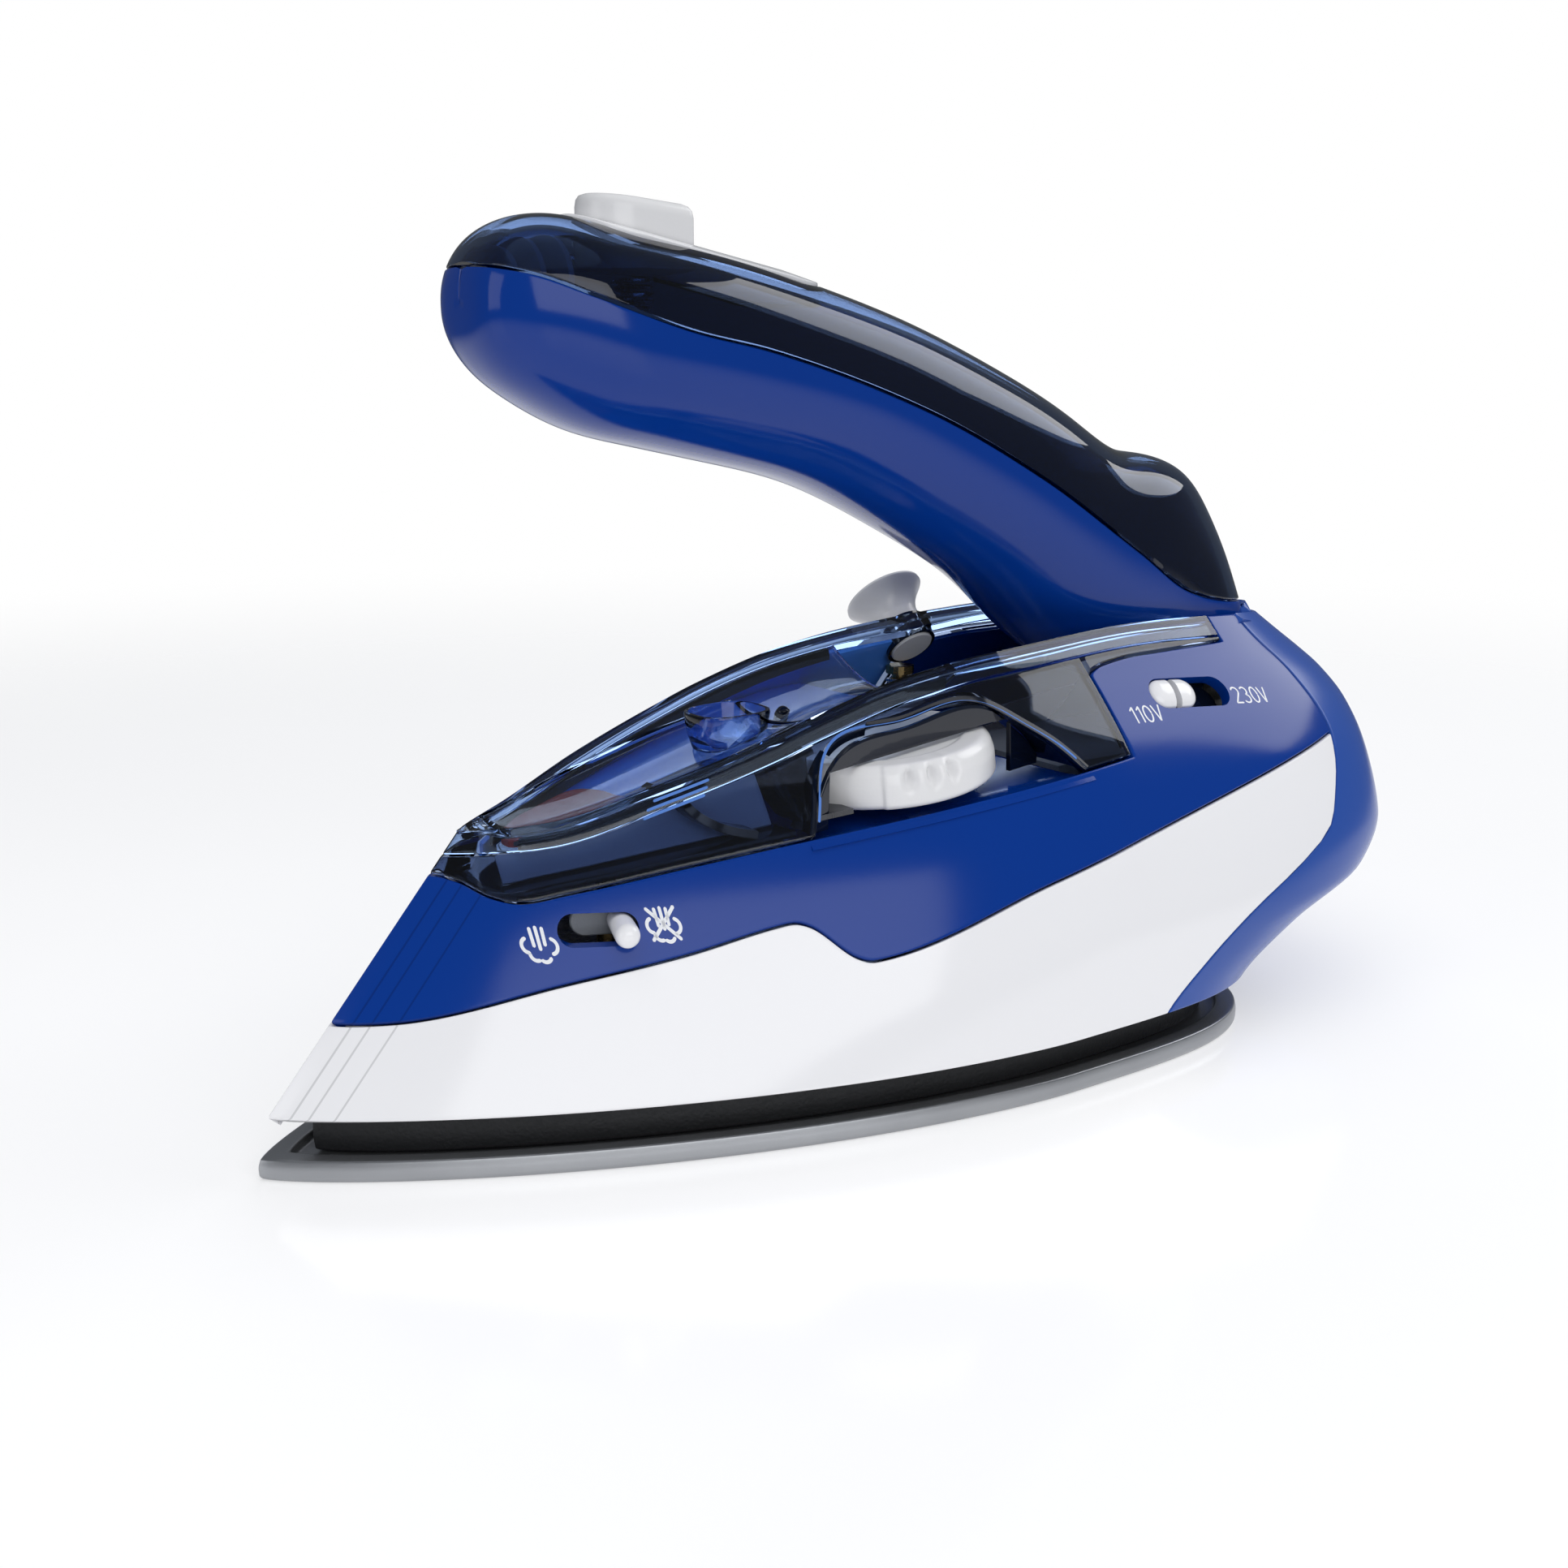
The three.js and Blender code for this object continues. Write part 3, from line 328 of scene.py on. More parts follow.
def side_grid(front, back, heights, rows, columns, toward="none"):
    """Part of the body's -Y side. Column s lies at x = front(z) + s (back(z) - front(z)), and row r at a height
    between two height curves; both are repeated until they agree. Then y is minus the half-width there."""
    row_place = np.concatenate([[0]] + [k + part[1:] for k, part in enumerate(rows)])
    s = np.asarray(columns, float)
    if toward == "nose":
        s = s**2
    if toward == "tail":
        s = 1 - (1 - s) ** 2
    r, s = surface_grid(row_place, s)
    band = np.minimum(r.astype(int), len(rows) - 1)
    part = r - band
    z = np.full(r.shape, 40.0)
    x = np.zeros(r.shape)
    for _ in range(60):
        x = front(z) + s * (back(z) - front(z))
        levels = np.stack([h(x) for h in heights])
        low = np.take_along_axis(levels, band[None], 0)[0]
        high = np.take_along_axis(levels, band[None] + 1, 0)[0]
        z = 0.4 * z + 0.6 * (low + part * (high - low))
    return np.stack([x, -half_width(x, z), z], -1)


def frame_axes(place, along, out):
    """Three unit axes at a place: out is kept, along is squared up to it, and the third crosses them."""
    w = np.array(out, float) / np.linalg.norm(out)
    u = np.array(along, float) - w * np.dot(along, w)
    u = u / np.linalg.norm(u)
    return np.array(place, float), u, np.cross(w, u), w


def placed(local, axes):
    """Points given along three axes, put at the axes' place."""
    place, u, v, w = axes
    return place + local[..., :1] * u + local[..., 1:2] * v + local[..., 2:] * w


def turned(profile, axes, sides=96, shape=None):
    """A turned piece: each (radius, height) point of the profile carried round the axis. A shape function may
    change the radius with the angle and the height."""
    profile = np.array(profile, float)
    angle = np.linspace(0, 2 * math.pi, sides + 1)
    r, a = surface_grid(profile[:, 0], angle)
    h = np.repeat(profile[:, 1:], sides + 1, axis=1)
    if shape is not None:
        r, h = shape(r, h, a)
    local = np.stack([r * np.cos(a), r * np.sin(a), h], -1)
    return Sheet().add(placed(local, axes))


def rounded_profile(points, radius, arc=5):
    """A profile of (r, h) points whose inner corners are replaced by arcs that meet both sides."""
    out = [points[0]]
    for before, at, after in zip(points[:-2], points[1:-1], points[2:]):
        before, at, after = (np.array(p, float) for p in (before, at, after))
        one, two = before - at, after - at
        reach = min(radius, 0.45 * np.linalg.norm(one), 0.45 * np.linalg.norm(two))
        p = at + one / np.linalg.norm(one) * reach
        q = at + two / np.linalg.norm(two) * reach
        for t in np.linspace(0, 1, arc):
            out.append((1 - t) ** 2 * p + 2 * t * (1 - t) * at + t * t * q)
    out.append(points[-1])
    return np.array(out, float)


def stadium_ring(half, radius, count=20):
    """Points round a block with round ends: two half circles joined by straight sides."""
    a = np.linspace(-math.pi / 2, math.pi / 2, count)
    right = np.stack([half + radius * np.cos(a), radius * np.sin(a)], -1)
    a = a + math.pi
    left = np.stack([-half + radius * np.cos(a), radius * np.sin(a)], -1)
    ring = np.concatenate([right, left])
    return np.concatenate([ring, ring[:1]])


def stadium_block(half, profile, axes, count=20):
    """A stadium carried up a profile of (radius, height) points and closed at both ends on its middle line."""
    rows = []
    for radius, height in profile:
        ring = stadium_ring(half, max(radius, 0), count)
        rows.append(np.concatenate([ring, np.full((len(ring), 1), height)], 1))
    return Sheet().add(placed(np.array(rows), axes))


def block(lengths, axes, round_edge=0.2):
    """A block with rounded edges: a rectangle with round corners swept up and drawn in near both ends."""
    a, b, c = np.array(lengths, float) / 2
    e = min(round_edge, 0.45 * min(a, b, c) * 2)
    ring = []
    for cx, cy, start in ((a - e, b - e, 0), (e - a, b - e, 1), (e - a, e - b, 2), (a - e, e - b, 3)):
        t = (start + np.linspace(0, 1, 5)) * math.pi / 2
        ring.append(np.stack([cx + e * np.cos(t), cy + e * np.sin(t)], -1))
    ring = np.concatenate(ring)
    ring = np.concatenate([ring, ring[:1]])
    t = np.linspace(0, math.pi / 2, 5)
    draw = np.concatenate([1 - np.sin(t), 1 - np.sin(t[::-1])])
    level = np.concatenate([-c + e * (1 - np.cos(t)), c - e * (1 - np.cos(t[::-1]))])
    rows = [np.concatenate([ring * 0, np.full((len(ring), 1), -c)], 1)]
    for d, z in zip(draw, level):
        size = np.array([(a - e * d) / a, (b - e * d) / b])
        rows.append(np.concatenate([ring * size, np.full((len(ring), 1), z)], 1))
    rows.append(np.concatenate([ring * 0, np.full((len(ring), 1), c)], 1))
    return Sheet().add(placed(np.array(rows), axes))


def cut_out(thing, sheet):
    """Takes a closed shape out of a piece with a Boolean, and keeps only the result."""
    points, faces = sheet.joined()
    mesh = bpy.data.meshes.new("cutter")
    doubled = faces == np.roll(faces, -1, axis=1)
    faces = faces[doubled.sum(axis=1) <= 1]
    mesh.from_pydata((points * MM).tolist(), [], [list(dict.fromkeys(f)) for f in faces.tolist()])
    cutter = new_thing("cutter", mesh)
    change = thing.modifiers.new("opening", "BOOLEAN")
    change.operation = "DIFFERENCE"
    change.object = cutter
    change.solver = "MANIFOLD"
    bpy.context.view_layer.update()
    cut = bpy.data.meshes.new_from_object(thing.evaluated_get(bpy.context.evaluated_depsgraph_get()))
    thing.modifiers.clear()
    thing.data = cut
    bpy.data.objects.remove(cutter)
    shade(cut)


def drill(radius, low, high):
    """The profile of a hole's cutter: a radius between two heights, closed on the axis at both ends."""
    return [(0, low), (radius, low), (radius, high), (0, high)]


def inner_wall(name, grid, thickness, finish, round_edge=0.1, flip=False):
    """A wall that stays with the base, made from one grid of points."""
    return piece(name, wall(Sheet().add(grid, flip=flip), thickness, round_edge), "base", finish)


# ---------- finishes ----------

BUMP_DEPTH = 0.0002
# painted reflection lines on the nose: where they lie behind the nose line, and how far they darken the colour
REFLECTION_LINE_PLACES = (0.0021, 0.0040, 0.0068)    # metres behind the leaning nose line
REFLECTION_LINE_SHADE = 0.55


def group_of(name, inputs, outputs):
    """An empty shader group with named inputs (name, kind, default) and outputs (name, kind)."""
    tree = bpy.data.node_groups.new(name, "ShaderNodeTree")
    for label, kind, default in inputs:
        socket = tree.interface.new_socket(label, in_out="INPUT", socket_type=kind)
        if default is not None:
            socket.default_value = default
    for label, kind in outputs:
        tree.interface.new_socket(label, in_out="OUTPUT", socket_type=kind)
    return tree, tree.nodes.new("NodeGroupInput"), tree.nodes.new("NodeGroupOutput")


def math_node(tree, operation, a, b=None, clamp=False):
    """A Math node whose inputs are sockets or numbers."""
    node = tree.nodes.new("ShaderNodeMath")
    node.operation = operation
    node.use_clamp = clamp
    for socket, value in zip(node.inputs, (a, b)):
        if value is None:
            continue
        if isinstance(value, (int, float)):
            socket.default_value = value
        else:
            tree.links.new(value, socket)
    return node.outputs[0]


def mix_colours(tree, share, first, second):
    """Two colours mixed by a share. Each is a socket, or red, green and blue values."""
    node = tree.nodes.new("ShaderNodeMix")
    node.data_type = "RGBA"
    tree.links.new(share, node.inputs[0])
    for socket, colour in ((node.inputs[6], first), (node.inputs[7], second)):
        if isinstance(colour, tuple):
            socket.default_value = (*colour, 1)
        else:
            tree.links.new(colour, socket)
    return node.outputs[2]


def add_bump(tree, shader, height, strength):
    """A very shallow bump from a height that varies over the surface."""
    node = tree.nodes.new("ShaderNodeBump")
    node.inputs["Strength"].default_value = strength
    node.inputs["Distance"].default_value = BUMP_DEPTH
    tree.links.new(height, node.inputs["Height"])
    tree.links.new(node.outputs[0], shader.inputs["Normal"])


def object_place(tree):
    """The place on the piece, in the piece's own metres."""
    return tree.nodes.new("ShaderNodeTexCoord").outputs["Object"]


def noise(tree, scale, detail=2.0, stretch=None):
    """A noise on the place, which may be stretched along its axes."""
    node = tree.nodes.new("ShaderNodeTexNoise")
    node.inputs["Scale"].default_value = scale
    node.inputs["Detail"].default_value = detail
    place = object_place(tree)
    if stretch is not None:
        mapping = tree.nodes.new("ShaderNodeMapping")
        mapping.inputs["Scale"].default_value = stretch
        tree.links.new(place, mapping.inputs["Vector"])
        place = mapping.outputs[0]
    tree.links.new(place, node.inputs["Vector"])
    return node.outputs["Fac"]


def make_handling_marks():
    """Fine speckle and faint finger smears: two noises, a fine one and a broad one, scaled and added."""
    tree, given, result = group_of("handling_marks", [
        ("Roughness", "NodeSocketFloat", 0.1), ("Speckle", "NodeSocketFloat", 0.02),
        ("Smear", "NodeSocketFloat", 0.03)],
        [("Roughness", "NodeSocketFloat"), ("Height", "NodeSocketFloat")])
    fine = math_node(tree, "SUBTRACT", noise(tree, 2600, 3), 0.5)
    broad = math_node(tree, "SUBTRACT", noise(tree, 38, 4), 0.5)
    one = math_node(tree, "MULTIPLY", fine, given.outputs["Speckle"])
    two = math_node(tree, "MULTIPLY", broad, given.outputs["Smear"])
    total = math_node(tree, "ADD", math_node(tree, "ADD", one, two), given.outputs["Roughness"], clamp=True)
    tree.links.new(total, result.inputs["Roughness"])
    tree.links.new(fine, result.inputs["Height"])
    return tree


def make_shade_drift():
    """A colour that drifts a little over the moulding: a broad noise mixes the colour with a darker one."""
    tree, given, result = group_of("shade_drift", [
        ("Colour", "NodeSocketColor", (0.5, 0.5, 0.5, 1)),
        ("Deep Colour", "NodeSocketColor", (0.4, 0.4, 0.4, 1)),
        ("Amount", "NodeSocketFloat", 0.3), ("Scale", "NodeSocketFloat", 20.0)],
        [("Colour", "NodeSocketColor")])
    node = tree.nodes.new("ShaderNodeTexNoise")
    node.inputs["Detail"].default_value = 1.5
    tree.links.new(object_place(tree), node.inputs["Vector"])
    tree.links.new(given.outputs["Scale"], node.inputs["Scale"])
    share = math_node(tree, "MULTIPLY", node.outputs["Fac"], given.outputs["Amount"], clamp=True)
    tree.links.new(mix_colours(tree, share, given.outputs["Colour"], given.outputs["Deep Colour"]),
                   result.inputs["Colour"])
    return tree


def make_painted_nose_lines():
    """Painted reflection lines that run up the nose: thin dark bands where the distance behind the leaning nose
    line takes given values, on both sides."""
    tree, given, result = group_of("painted_nose_lines", [("Width", "NodeSocketFloat", 0.00012)],
                                   [("Line", "NodeSocketFloat")])
    split = tree.nodes.new("ShaderNodeSeparateXYZ")
    tree.links.new(object_place(tree), split.inputs[0])
    lean = math_node(tree, "MULTIPLY", split.outputs[2], NOSE_LEAN)
    behind = math_node(tree, "SUBTRACT", split.outputs[0], lean)
    behind = math_node(tree, "SUBTRACT", behind, (NOSE_X - NOSE_LEAN * SKIRT_Z) * MM)
    total = None
    for place in REFLECTION_LINE_PLACES:
        off = math_node(tree, "ABSOLUTE", math_node(tree, "SUBTRACT", behind, place))
        line = math_node(tree, "LESS_THAN", off, given.outputs["Width"])
        total = line if total is None else math_node(tree, "ADD", total, line, clamp=True)
    tree.links.new(total, result.inputs["Line"])
    return tree


def make_metal_grain():
    """Brushed or cast grain: a stretched fine noise for the brush lines and a round one for the casting."""
    tree, given, result = group_of("metal_grain", [
        ("Brush", "NodeSocketFloat", 0.5), ("Pit", "NodeSocketFloat", 0.2),
        ("Roughness", "NodeSocketFloat", 0.3)],
        [("Height", "NodeSocketFloat"), ("Roughness", "NodeSocketFloat"), ("Mask", "NodeSocketFloat")])
    brush = math_node(tree, "MULTIPLY", noise(tree, 60, 5, (1.5, 60, 60)), given.outputs["Brush"])
    pit = math_node(tree, "MULTIPLY", noise(tree, 1900, 4), given.outputs["Pit"])
    height = math_node(tree, "ADD", brush, pit)
    tree.links.new(height, result.inputs["Height"])
    shift = math_node(tree, "MULTIPLY", math_node(tree, "SUBTRACT", height, 0.4), 0.22)
    roughness = math_node(tree, "ADD", shift, given.outputs["Roughness"], clamp=True)
    tree.links.new(roughness, result.inputs["Roughness"])
    tree.links.new(noise(tree, 90, 3), result.inputs["Mask"])
    return tree


handling_marks = make_handling_marks()
shade_drift = make_shade_drift()
painted_nose_lines = make_painted_nose_lines()
metal_grain = make_metal_grain()


def start_finish(name):
    """A new material with its node tree and its Principled shader."""
    material = bpy.data.materials.new(name)
    material.use_nodes = True
    tree = material.node_tree
    return material, tree, tree.nodes["Principled BSDF"]


def group_node(tree, group, **values):
    """A shader group placed in a material with the material's own values."""
    node = tree.nodes.new("ShaderNodeGroup")
    node.node_tree = group
    for label, value in values.items():
        node.inputs[label.replace("_", " ")].default_value = value
    return node


def plastic(name, colour, deep, roughness=0.08, coat=0.0, speckle=0.03, smear=0.04, bump=0.02, drift=0.5,
            drift_scale=18.0, painted_lines=False, shine=0.5):
    """Moulded plastic: a drifting colour, roughness with speckle and smears, and a very fine bump."""
    material, tree, shader = start_finish(name)
    tint = group_node(tree, shade_drift, Colour=(*colour, 1), Deep_Colour=(*deep, 1), Amount=drift,
                      Scale=drift_scale)
    marks = group_node(tree, handling_marks, Roughness=roughness, Speckle=speckle, Smear=smear)
    colour_out = tint.outputs["Colour"]
    # painted reflection lines up the nose: thin bands of the darkened deep colour
    if painted_lines:
        lines = group_node(tree, painted_nose_lines)
        share = math_node(tree, "MULTIPLY", lines.outputs["Line"], REFLECTION_LINE_SHADE)
        colour_out = mix_colours(tree, share, colour_out, tuple(c * REFLECTION_LINE_SHADE for c in deep))
    add_bump(tree, shader, marks.outputs["Height"], bump)
    tree.links.new(colour_out, shader.inputs["Base Color"])
    tree.links.new(marks.outputs["Roughness"], shader.inputs["Roughness"])
    shader.inputs["IOR"].default_value = 1.5
    shader.inputs["Coat Weight"].default_value = coat
    shader.inputs["Coat Roughness"].default_value = 0.03
    shader.inputs["Specular IOR Level"].default_value = shine
    return material


def clear_plastic(name, colour, deep):
    """Smoked clear plastic: tinted transmission whose tint drifts, with faint smears on its polish."""
    material, tree, shader = start_finish(name)
    tint = group_node(tree, shade_drift, Colour=(*colour, 1), Deep_Colour=(*deep, 1), Amount=0.6, Scale=14.0)
    marks = group_node(tree, handling_marks, Roughness=0.02, Speckle=0.01, Smear=0.02)
    tree.links.new(tint.outputs["Colour"], shader.inputs["Base Color"])
    tree.links.new(marks.outputs["Roughness"], shader.inputs["Roughness"])
    shader.inputs["Transmission Weight"].default_value = 1.0
    shader.inputs["IOR"].default_value = 1.45
    return material


def metal(name, colour, deep, roughness, brush, pit, metallic=1.0, bump=0.15):
    """Metal: brush lines and pits for the bump and the roughness, and a mask that mottles the colour."""
    material, tree, shader = start_finish(name)
    grain = group_node(tree, metal_grain, Brush=brush, Pit=pit, Roughness=roughness)
    add_bump(tree, shader, grain.outputs["Height"], bump)
    tree.links.new(mix_colours(tree, grain.outputs["Mask"], colour, deep), shader.inputs["Base Color"])
    tree.links.new(grain.outputs["Roughness"], shader.inputs["Roughness"])
    shader.inputs["Metallic"].default_value = metallic
    return material


BLUE = (0.0014, 0.036, 0.262)
DEEP_BLUE = (0.0011, 0.030, 0.228)
WHITE = (0.86, 0.86, 0.88)
SHADED_WHITE = (0.81, 0.81, 0.84)
blue_painted_lines = plastic("blue_painted_lines", BLUE, DEEP_BLUE, 0.13, painted_lines=True, shine=0.32)
blue_gloss = plastic("blue_gloss", BLUE, DEEP_BLUE, 0.11, shine=0.32)
heel_blue = plastic("heel_blue", (0.022, 0.078, 0.36), (0.016, 0.066, 0.32), 0.22, shine=0.4)
white_painted_lines = plastic("white_painted_lines", WHITE, SHADED_WHITE, 0.10, painted_lines=True, drift=0.4)
white_gloss = plastic("white_gloss", WHITE, SHADED_WHITE, 0.12, drift=0.4)
white_satin = plastic("white_satin", (0.80, 0.80, 0.81), (0.72, 0.72, 0.74), 0.24, bump=0.08, drift=0.5)
print_white = plastic("print_white", (0.82, 0.84, 0.88), (0.76, 0.78, 0.83), 0.35, bump=0.1)
# light blue for thin painted highlight lines on the tank's side
highlight_blue = plastic("highlight_blue", (0.10, 0.24, 0.66), (0.06, 0.16, 0.52), 0.25)
black_moulding = plastic("black_moulding", (0.012, 0.013, 0.016), (0.006, 0.007, 0.009), 0.34, bump=0.3)
grey_moulding = plastic("grey_moulding", (0.28, 0.30, 0.33), (0.20, 0.22, 0.25), 0.4, bump=0.2)
red_rubber = plastic("red_rubber", (0.42, 0.035, 0.022), (0.24, 0.018, 0.014), 0.35, bump=0.25)
slat_grey = plastic("slat_grey", (0.86, 0.87, 0.90), (0.74, 0.75, 0.79), 0.3, bump=0.1)
slate_inside = plastic("slate_inside", (0.52, 0.57, 0.70), (0.40, 0.44, 0.56), 0.3)
# near-black navy for the insides of the tank, the recess, the slots and the sleeve: painted shade where the
# inside lies in shadow
shaded_navy_inside = plastic("shaded_navy_inside", (0.004, 0.007, 0.018), (0.002, 0.004, 0.010), 0.12, coat=0.3)
# bright royal blue, a lit copy of the body's blue: painted light inside the tank
lit_royal_inside = plastic("lit_royal_inside", (0.09, 0.32, 0.98), (0.05, 0.22, 0.85), 0.22)
smoked = clear_plastic("smoked_clear", (0.30, 0.38, 0.56), (0.20, 0.27, 0.44))
smoked_deck = clear_plastic("smoked_deck", (0.66, 0.79, 1.0), (0.52, 0.68, 0.97))
smoked_handle = clear_plastic("smoked_handle", (0.10, 0.16, 0.31), (0.05, 0.09, 0.20))
sole_metal = metal("sole_metal", (0.38, 0.39, 0.41), (0.31, 0.32, 0.34), 0.36, 0.25, 0.35, 0.85)
cast_black = metal("cast_black", (0.030, 0.031, 0.034), (0.018, 0.019, 0.021), 0.52, 0.05, 1.0, 0.5, 0.6)
steel = metal("steel", (0.58, 0.59, 0.61), (0.44, 0.45, 0.48), 0.28, 0.6, 0.1)
brass = metal("brass", (0.66, 0.48, 0.20), (0.50, 0.34, 0.13), 0.28, 0.5, 0.1)
finish_of_slot = {
    "sole_aluminium": sole_metal, "dark_casting": cast_black, "steel": steel, "brass": brass,
    "white_plastic": white_satin, "blue_plastic": blue_gloss, "smoked_plastic": smoked,
    "red_rubber": red_rubber, "black_plastic": black_moulding, "grey_plastic": grey_moulding,
}
for part in frame["record"]["subparts"]:
    node_mesh = frame["nodes"][part["node"]].data
    node_mesh.materials.clear()
    node_mesh.materials.append(finish_of_slot[part["material_slot"]])

# ---------- soleplate and heater casting ----------


SOLE_HALF_LENGTH = 82.5
SOLE_HALF_WIDTH = 43.5
SOLE_WIDEST_X = 29


def sole_ring(inset, count=260):
    """The sole's outline drawn in by inset: the body's powers at the nose and a squared tail, closed."""
    angle = np.linspace(0, 1, count) * math.pi / 2
    nose = -SOLE_HALF_LENGTH + 1.6 * inset
    tail = SOLE_HALF_LENGTH - inset
    width = SOLE_HALF_WIDTH - inset
    x = SOLE_WIDEST_X - (SOLE_WIDEST_X - nose) * np.cos(angle) ** OUTLINE_X_POWER
    y = width * np.sin(angle) ** OUTLINE_Y_POWER
    back = angle[::-1][1:]
    x = np.concatenate([x, SOLE_WIDEST_X + (tail - SOLE_WIDEST_X) * np.cos(back) ** (2 / 3.9)])
    y = np.concatenate([y, width * np.sin(back) ** (2 / 3.63)])
    return np.concatenate([np.stack([x, -y], -1), np.stack([x, y], -1)[::-1][1:]])


def plate(profile, floor_count=8):
    """A plate whose rim follows a profile of (inset, height) points; its top and bottom close on the middle
    line, each row's y shrinking evenly to nothing."""
    rows = []
    shares = np.linspace(0, 1, floor_count)
    levels = [(*profile[0], share) for share in shares[:-1]]
    levels += [(inset, height, 1.0) for inset, height in profile]
    levels += [(*profile[-1], share) for share in np.linspace(1, 0, floor_count)[1:]]
    for inset, height, share in levels:
        ring = sole_ring(inset)
        rows.append(np.column_stack([ring[:, 0], ring[:, 1] * share, np.full(len(ring), height)]))
    return Sheet().add(np.array(rows))


sole_profile = rounded_profile([(3.0, 0.0), (0.5, 0.0), (0.05, 0.55), (0, 2.0), (0.25, 3.1), (0.8, 3.2),
                                (2.3, 3.2), (2.9, 3.1), (3.1, 2.05), (4.2, 2.0)], 0.45)
casting_profile = rounded_profile([(9, 2.3), (5.15, 2.3), (5.0, 5), (5.1, 8.9), (5.9, 9.5), (8, 9.55)], 0.6)
piece("sole_plate", plate(sole_profile), "base", sole_metal, ["soleplate"], 50)
piece("heater_block", plate(casting_profile),
      "base", cast_black, ["heater_casting"], 50)

# ---------- shells of the body ----------

WALL = 2.0
STEP_X = 50.0
STEP_Z = float(seam_front_at(STEP_X))


def both_sides(sheet, grid):
    """Puts a piece of the -Y side into a sheet, and its mirror image, which faces the other way."""
    return sheet.add(grid).add(mirrored(grid), flip=True)


def at(number):
    """A curve that has the same value everywhere."""
    return lambda z: np.full(np.shape(z), float(number))


skirt_sheet = both_sides(Sheet(), side_grid(
    nose_at, lambda z: tail_line_at(z) - GAP, [at(SKIRT_Z), lambda x: wave_at(x) - GAP],
    [steps(20, 1.0, True, True)], steps(180, 0.6, False, True) ** 0.8, "nose"))
piece("skirt_shell", wall(skirt_sheet, WALL), "base", white_painted_lines, ["lower_skirt"])


def split_at(x):
    """The height at which the main shell's rows are split, so that its parts share their borders."""
    return np.interp(x, [STEP_X, 84, 92], [STEP_Z, 54, 55])


main_sheet = both_sides(Sheet(), side_grid(
    nose_at, at(STEP_X), [wave_at, seam_front_at],
    [steps(12, 0.6, True, True)], steps(120, 0.7), "nose"))
both_sides(main_sheet, side_grid(
    at(STEP_X), at(84), [wave_at, split_at, seam_rear_at],
    [steps(12, 0.6, True, True), steps(10, 0.6, False, True)], steps(34, 0.7, True)))
both_sides(main_sheet, side_grid(
    at(84), lambda z: tail_line_at(z) - GAP, [wave_at, split_at, seam_rear_at, ridge_at],
    [steps(12, 0.6, True, True), steps(10, 0.6, False, True), steps(4, 0.5, True, True)],
    steps(10, 0.6, True, True)))
main_piece = piece("main_body", wall(main_sheet, WALL), "base", blue_painted_lines, ["main_shell"])

# rear cover: the heel band, and the top face that runs from its edge to the well
HEEL_X = 121.46
band_rows = steps(58, 0.8, True, False)
band_columns = steps(50, 0.8, True, False)
rear_grid = side_grid(tail_line_at, tail_at, [at(SKIRT_Z), ridge_at], [band_rows], band_columns, "tail")
rear_grid[..., 0] = np.minimum(rear_grid[..., 0], HEEL_X)
rear_sheet = both_sides(Sheet(), rear_grid)
top_edge = rear_grid[-1]
well_line = spline([[91, -14.9], [98, -13], [102, -10.6], [104.6, -6], [104.9, 0]],
                   1 - (1 - band_columns) ** 2)
share, _ = surface_grid(np.array([0, 0.04, 0.1, 0.25, 0.5, 0.75, 0.9, 1.0]), band_columns)
top_grid = np.empty((*share.shape, 3))
top_grid[..., 0] = top_edge[:, 0] + share * (well_line[:, 0] - top_edge[:, 0])
top_grid[..., 1] = top_edge[:, 1] + share * (well_line[:, 1] - top_edge[:, 1])
top_grid[..., 2] = top_edge[:, 2] - 0.35 * np.sin(share * math.pi / 2)
both_sides(rear_sheet, top_grid)
rear_piece = piece("heel_band", wall(rear_sheet, WALL), "base", heel_blue, ["rear_cover"])
inlet_axes = frame_axes([110, 0, 46], [0, 0, 1], [1, 0, 0])
cut_out(rear_piece, turned(drill(6.8, -6, 20), inlet_axes, 64))

# ---------- tank and deck ----------


def under_deck(x):
    """The tank's top edge, just under the deck's rim."""
    return ridge_at(x) - DECK_RIM - 0.15


def tank_rows(bottom, share):
    """The tank's heights: its bottom, a share of the way up, and its top."""
    return [bottom, lambda x: bottom(x) + share(x) * (under_deck(x) - bottom(x)), under_deck]


def tank_share(x):
    """How far up the tank's middle row lies, which rises towards the step in the seam."""
    return np.interp(x, [42, 49.7], [0.6, 0.78])


def seam_above(x):
    """The tank's bottom edge, a gap above the main shell."""
    return seam_front_at(x) + GAP


def recess_or_seam(x):
    """The tank's bottom edge on the dial's side, which arches over the recess."""
    inside = (x > -8.4) & (x < 41.9)
    return np.where(inside, np.maximum(recess_at(x), seam_above(x)), seam_above(x))


low_rows = steps(8, 0.7, True)
high_rows = steps(5, 0.6, False, True)
tank_sheet = Sheet()
for side_bottom, turn_over in ((recess_or_seam, False), (seam_above, True)):
    for x0, x1, columns, toward in ((None, -8, steps(44, 0.6), "nose"), (-8, 42, steps(50, 0.45), "none"),
                                    (42, 49.7, steps(8, 0.5, False, True), "none")):
        grid = side_grid(nose_at if x0 is None else at(x0), at(x1), tank_rows(side_bottom, tank_share),
                         [low_rows, high_rows], columns, toward)
        tank_sheet.add(mirrored(grid) if turn_over else grid, flip=turn_over)
    grid = side_grid(at(49.7), at(83.8), [lambda x: seam_rear_at(x) + GAP, under_deck], [high_rows],
                     steps(34, 0.7, False, True))
    tank_sheet.add(mirrored(grid) if turn_over else grid, flip=turn_over)
tank_piece = piece("tank_wall", wall(tank_sheet, lambda x: 1.6 * np.clip((x + 51) / 5, 0.12, 1), 0.25),
                   "base", smoked, ["water_tank"])

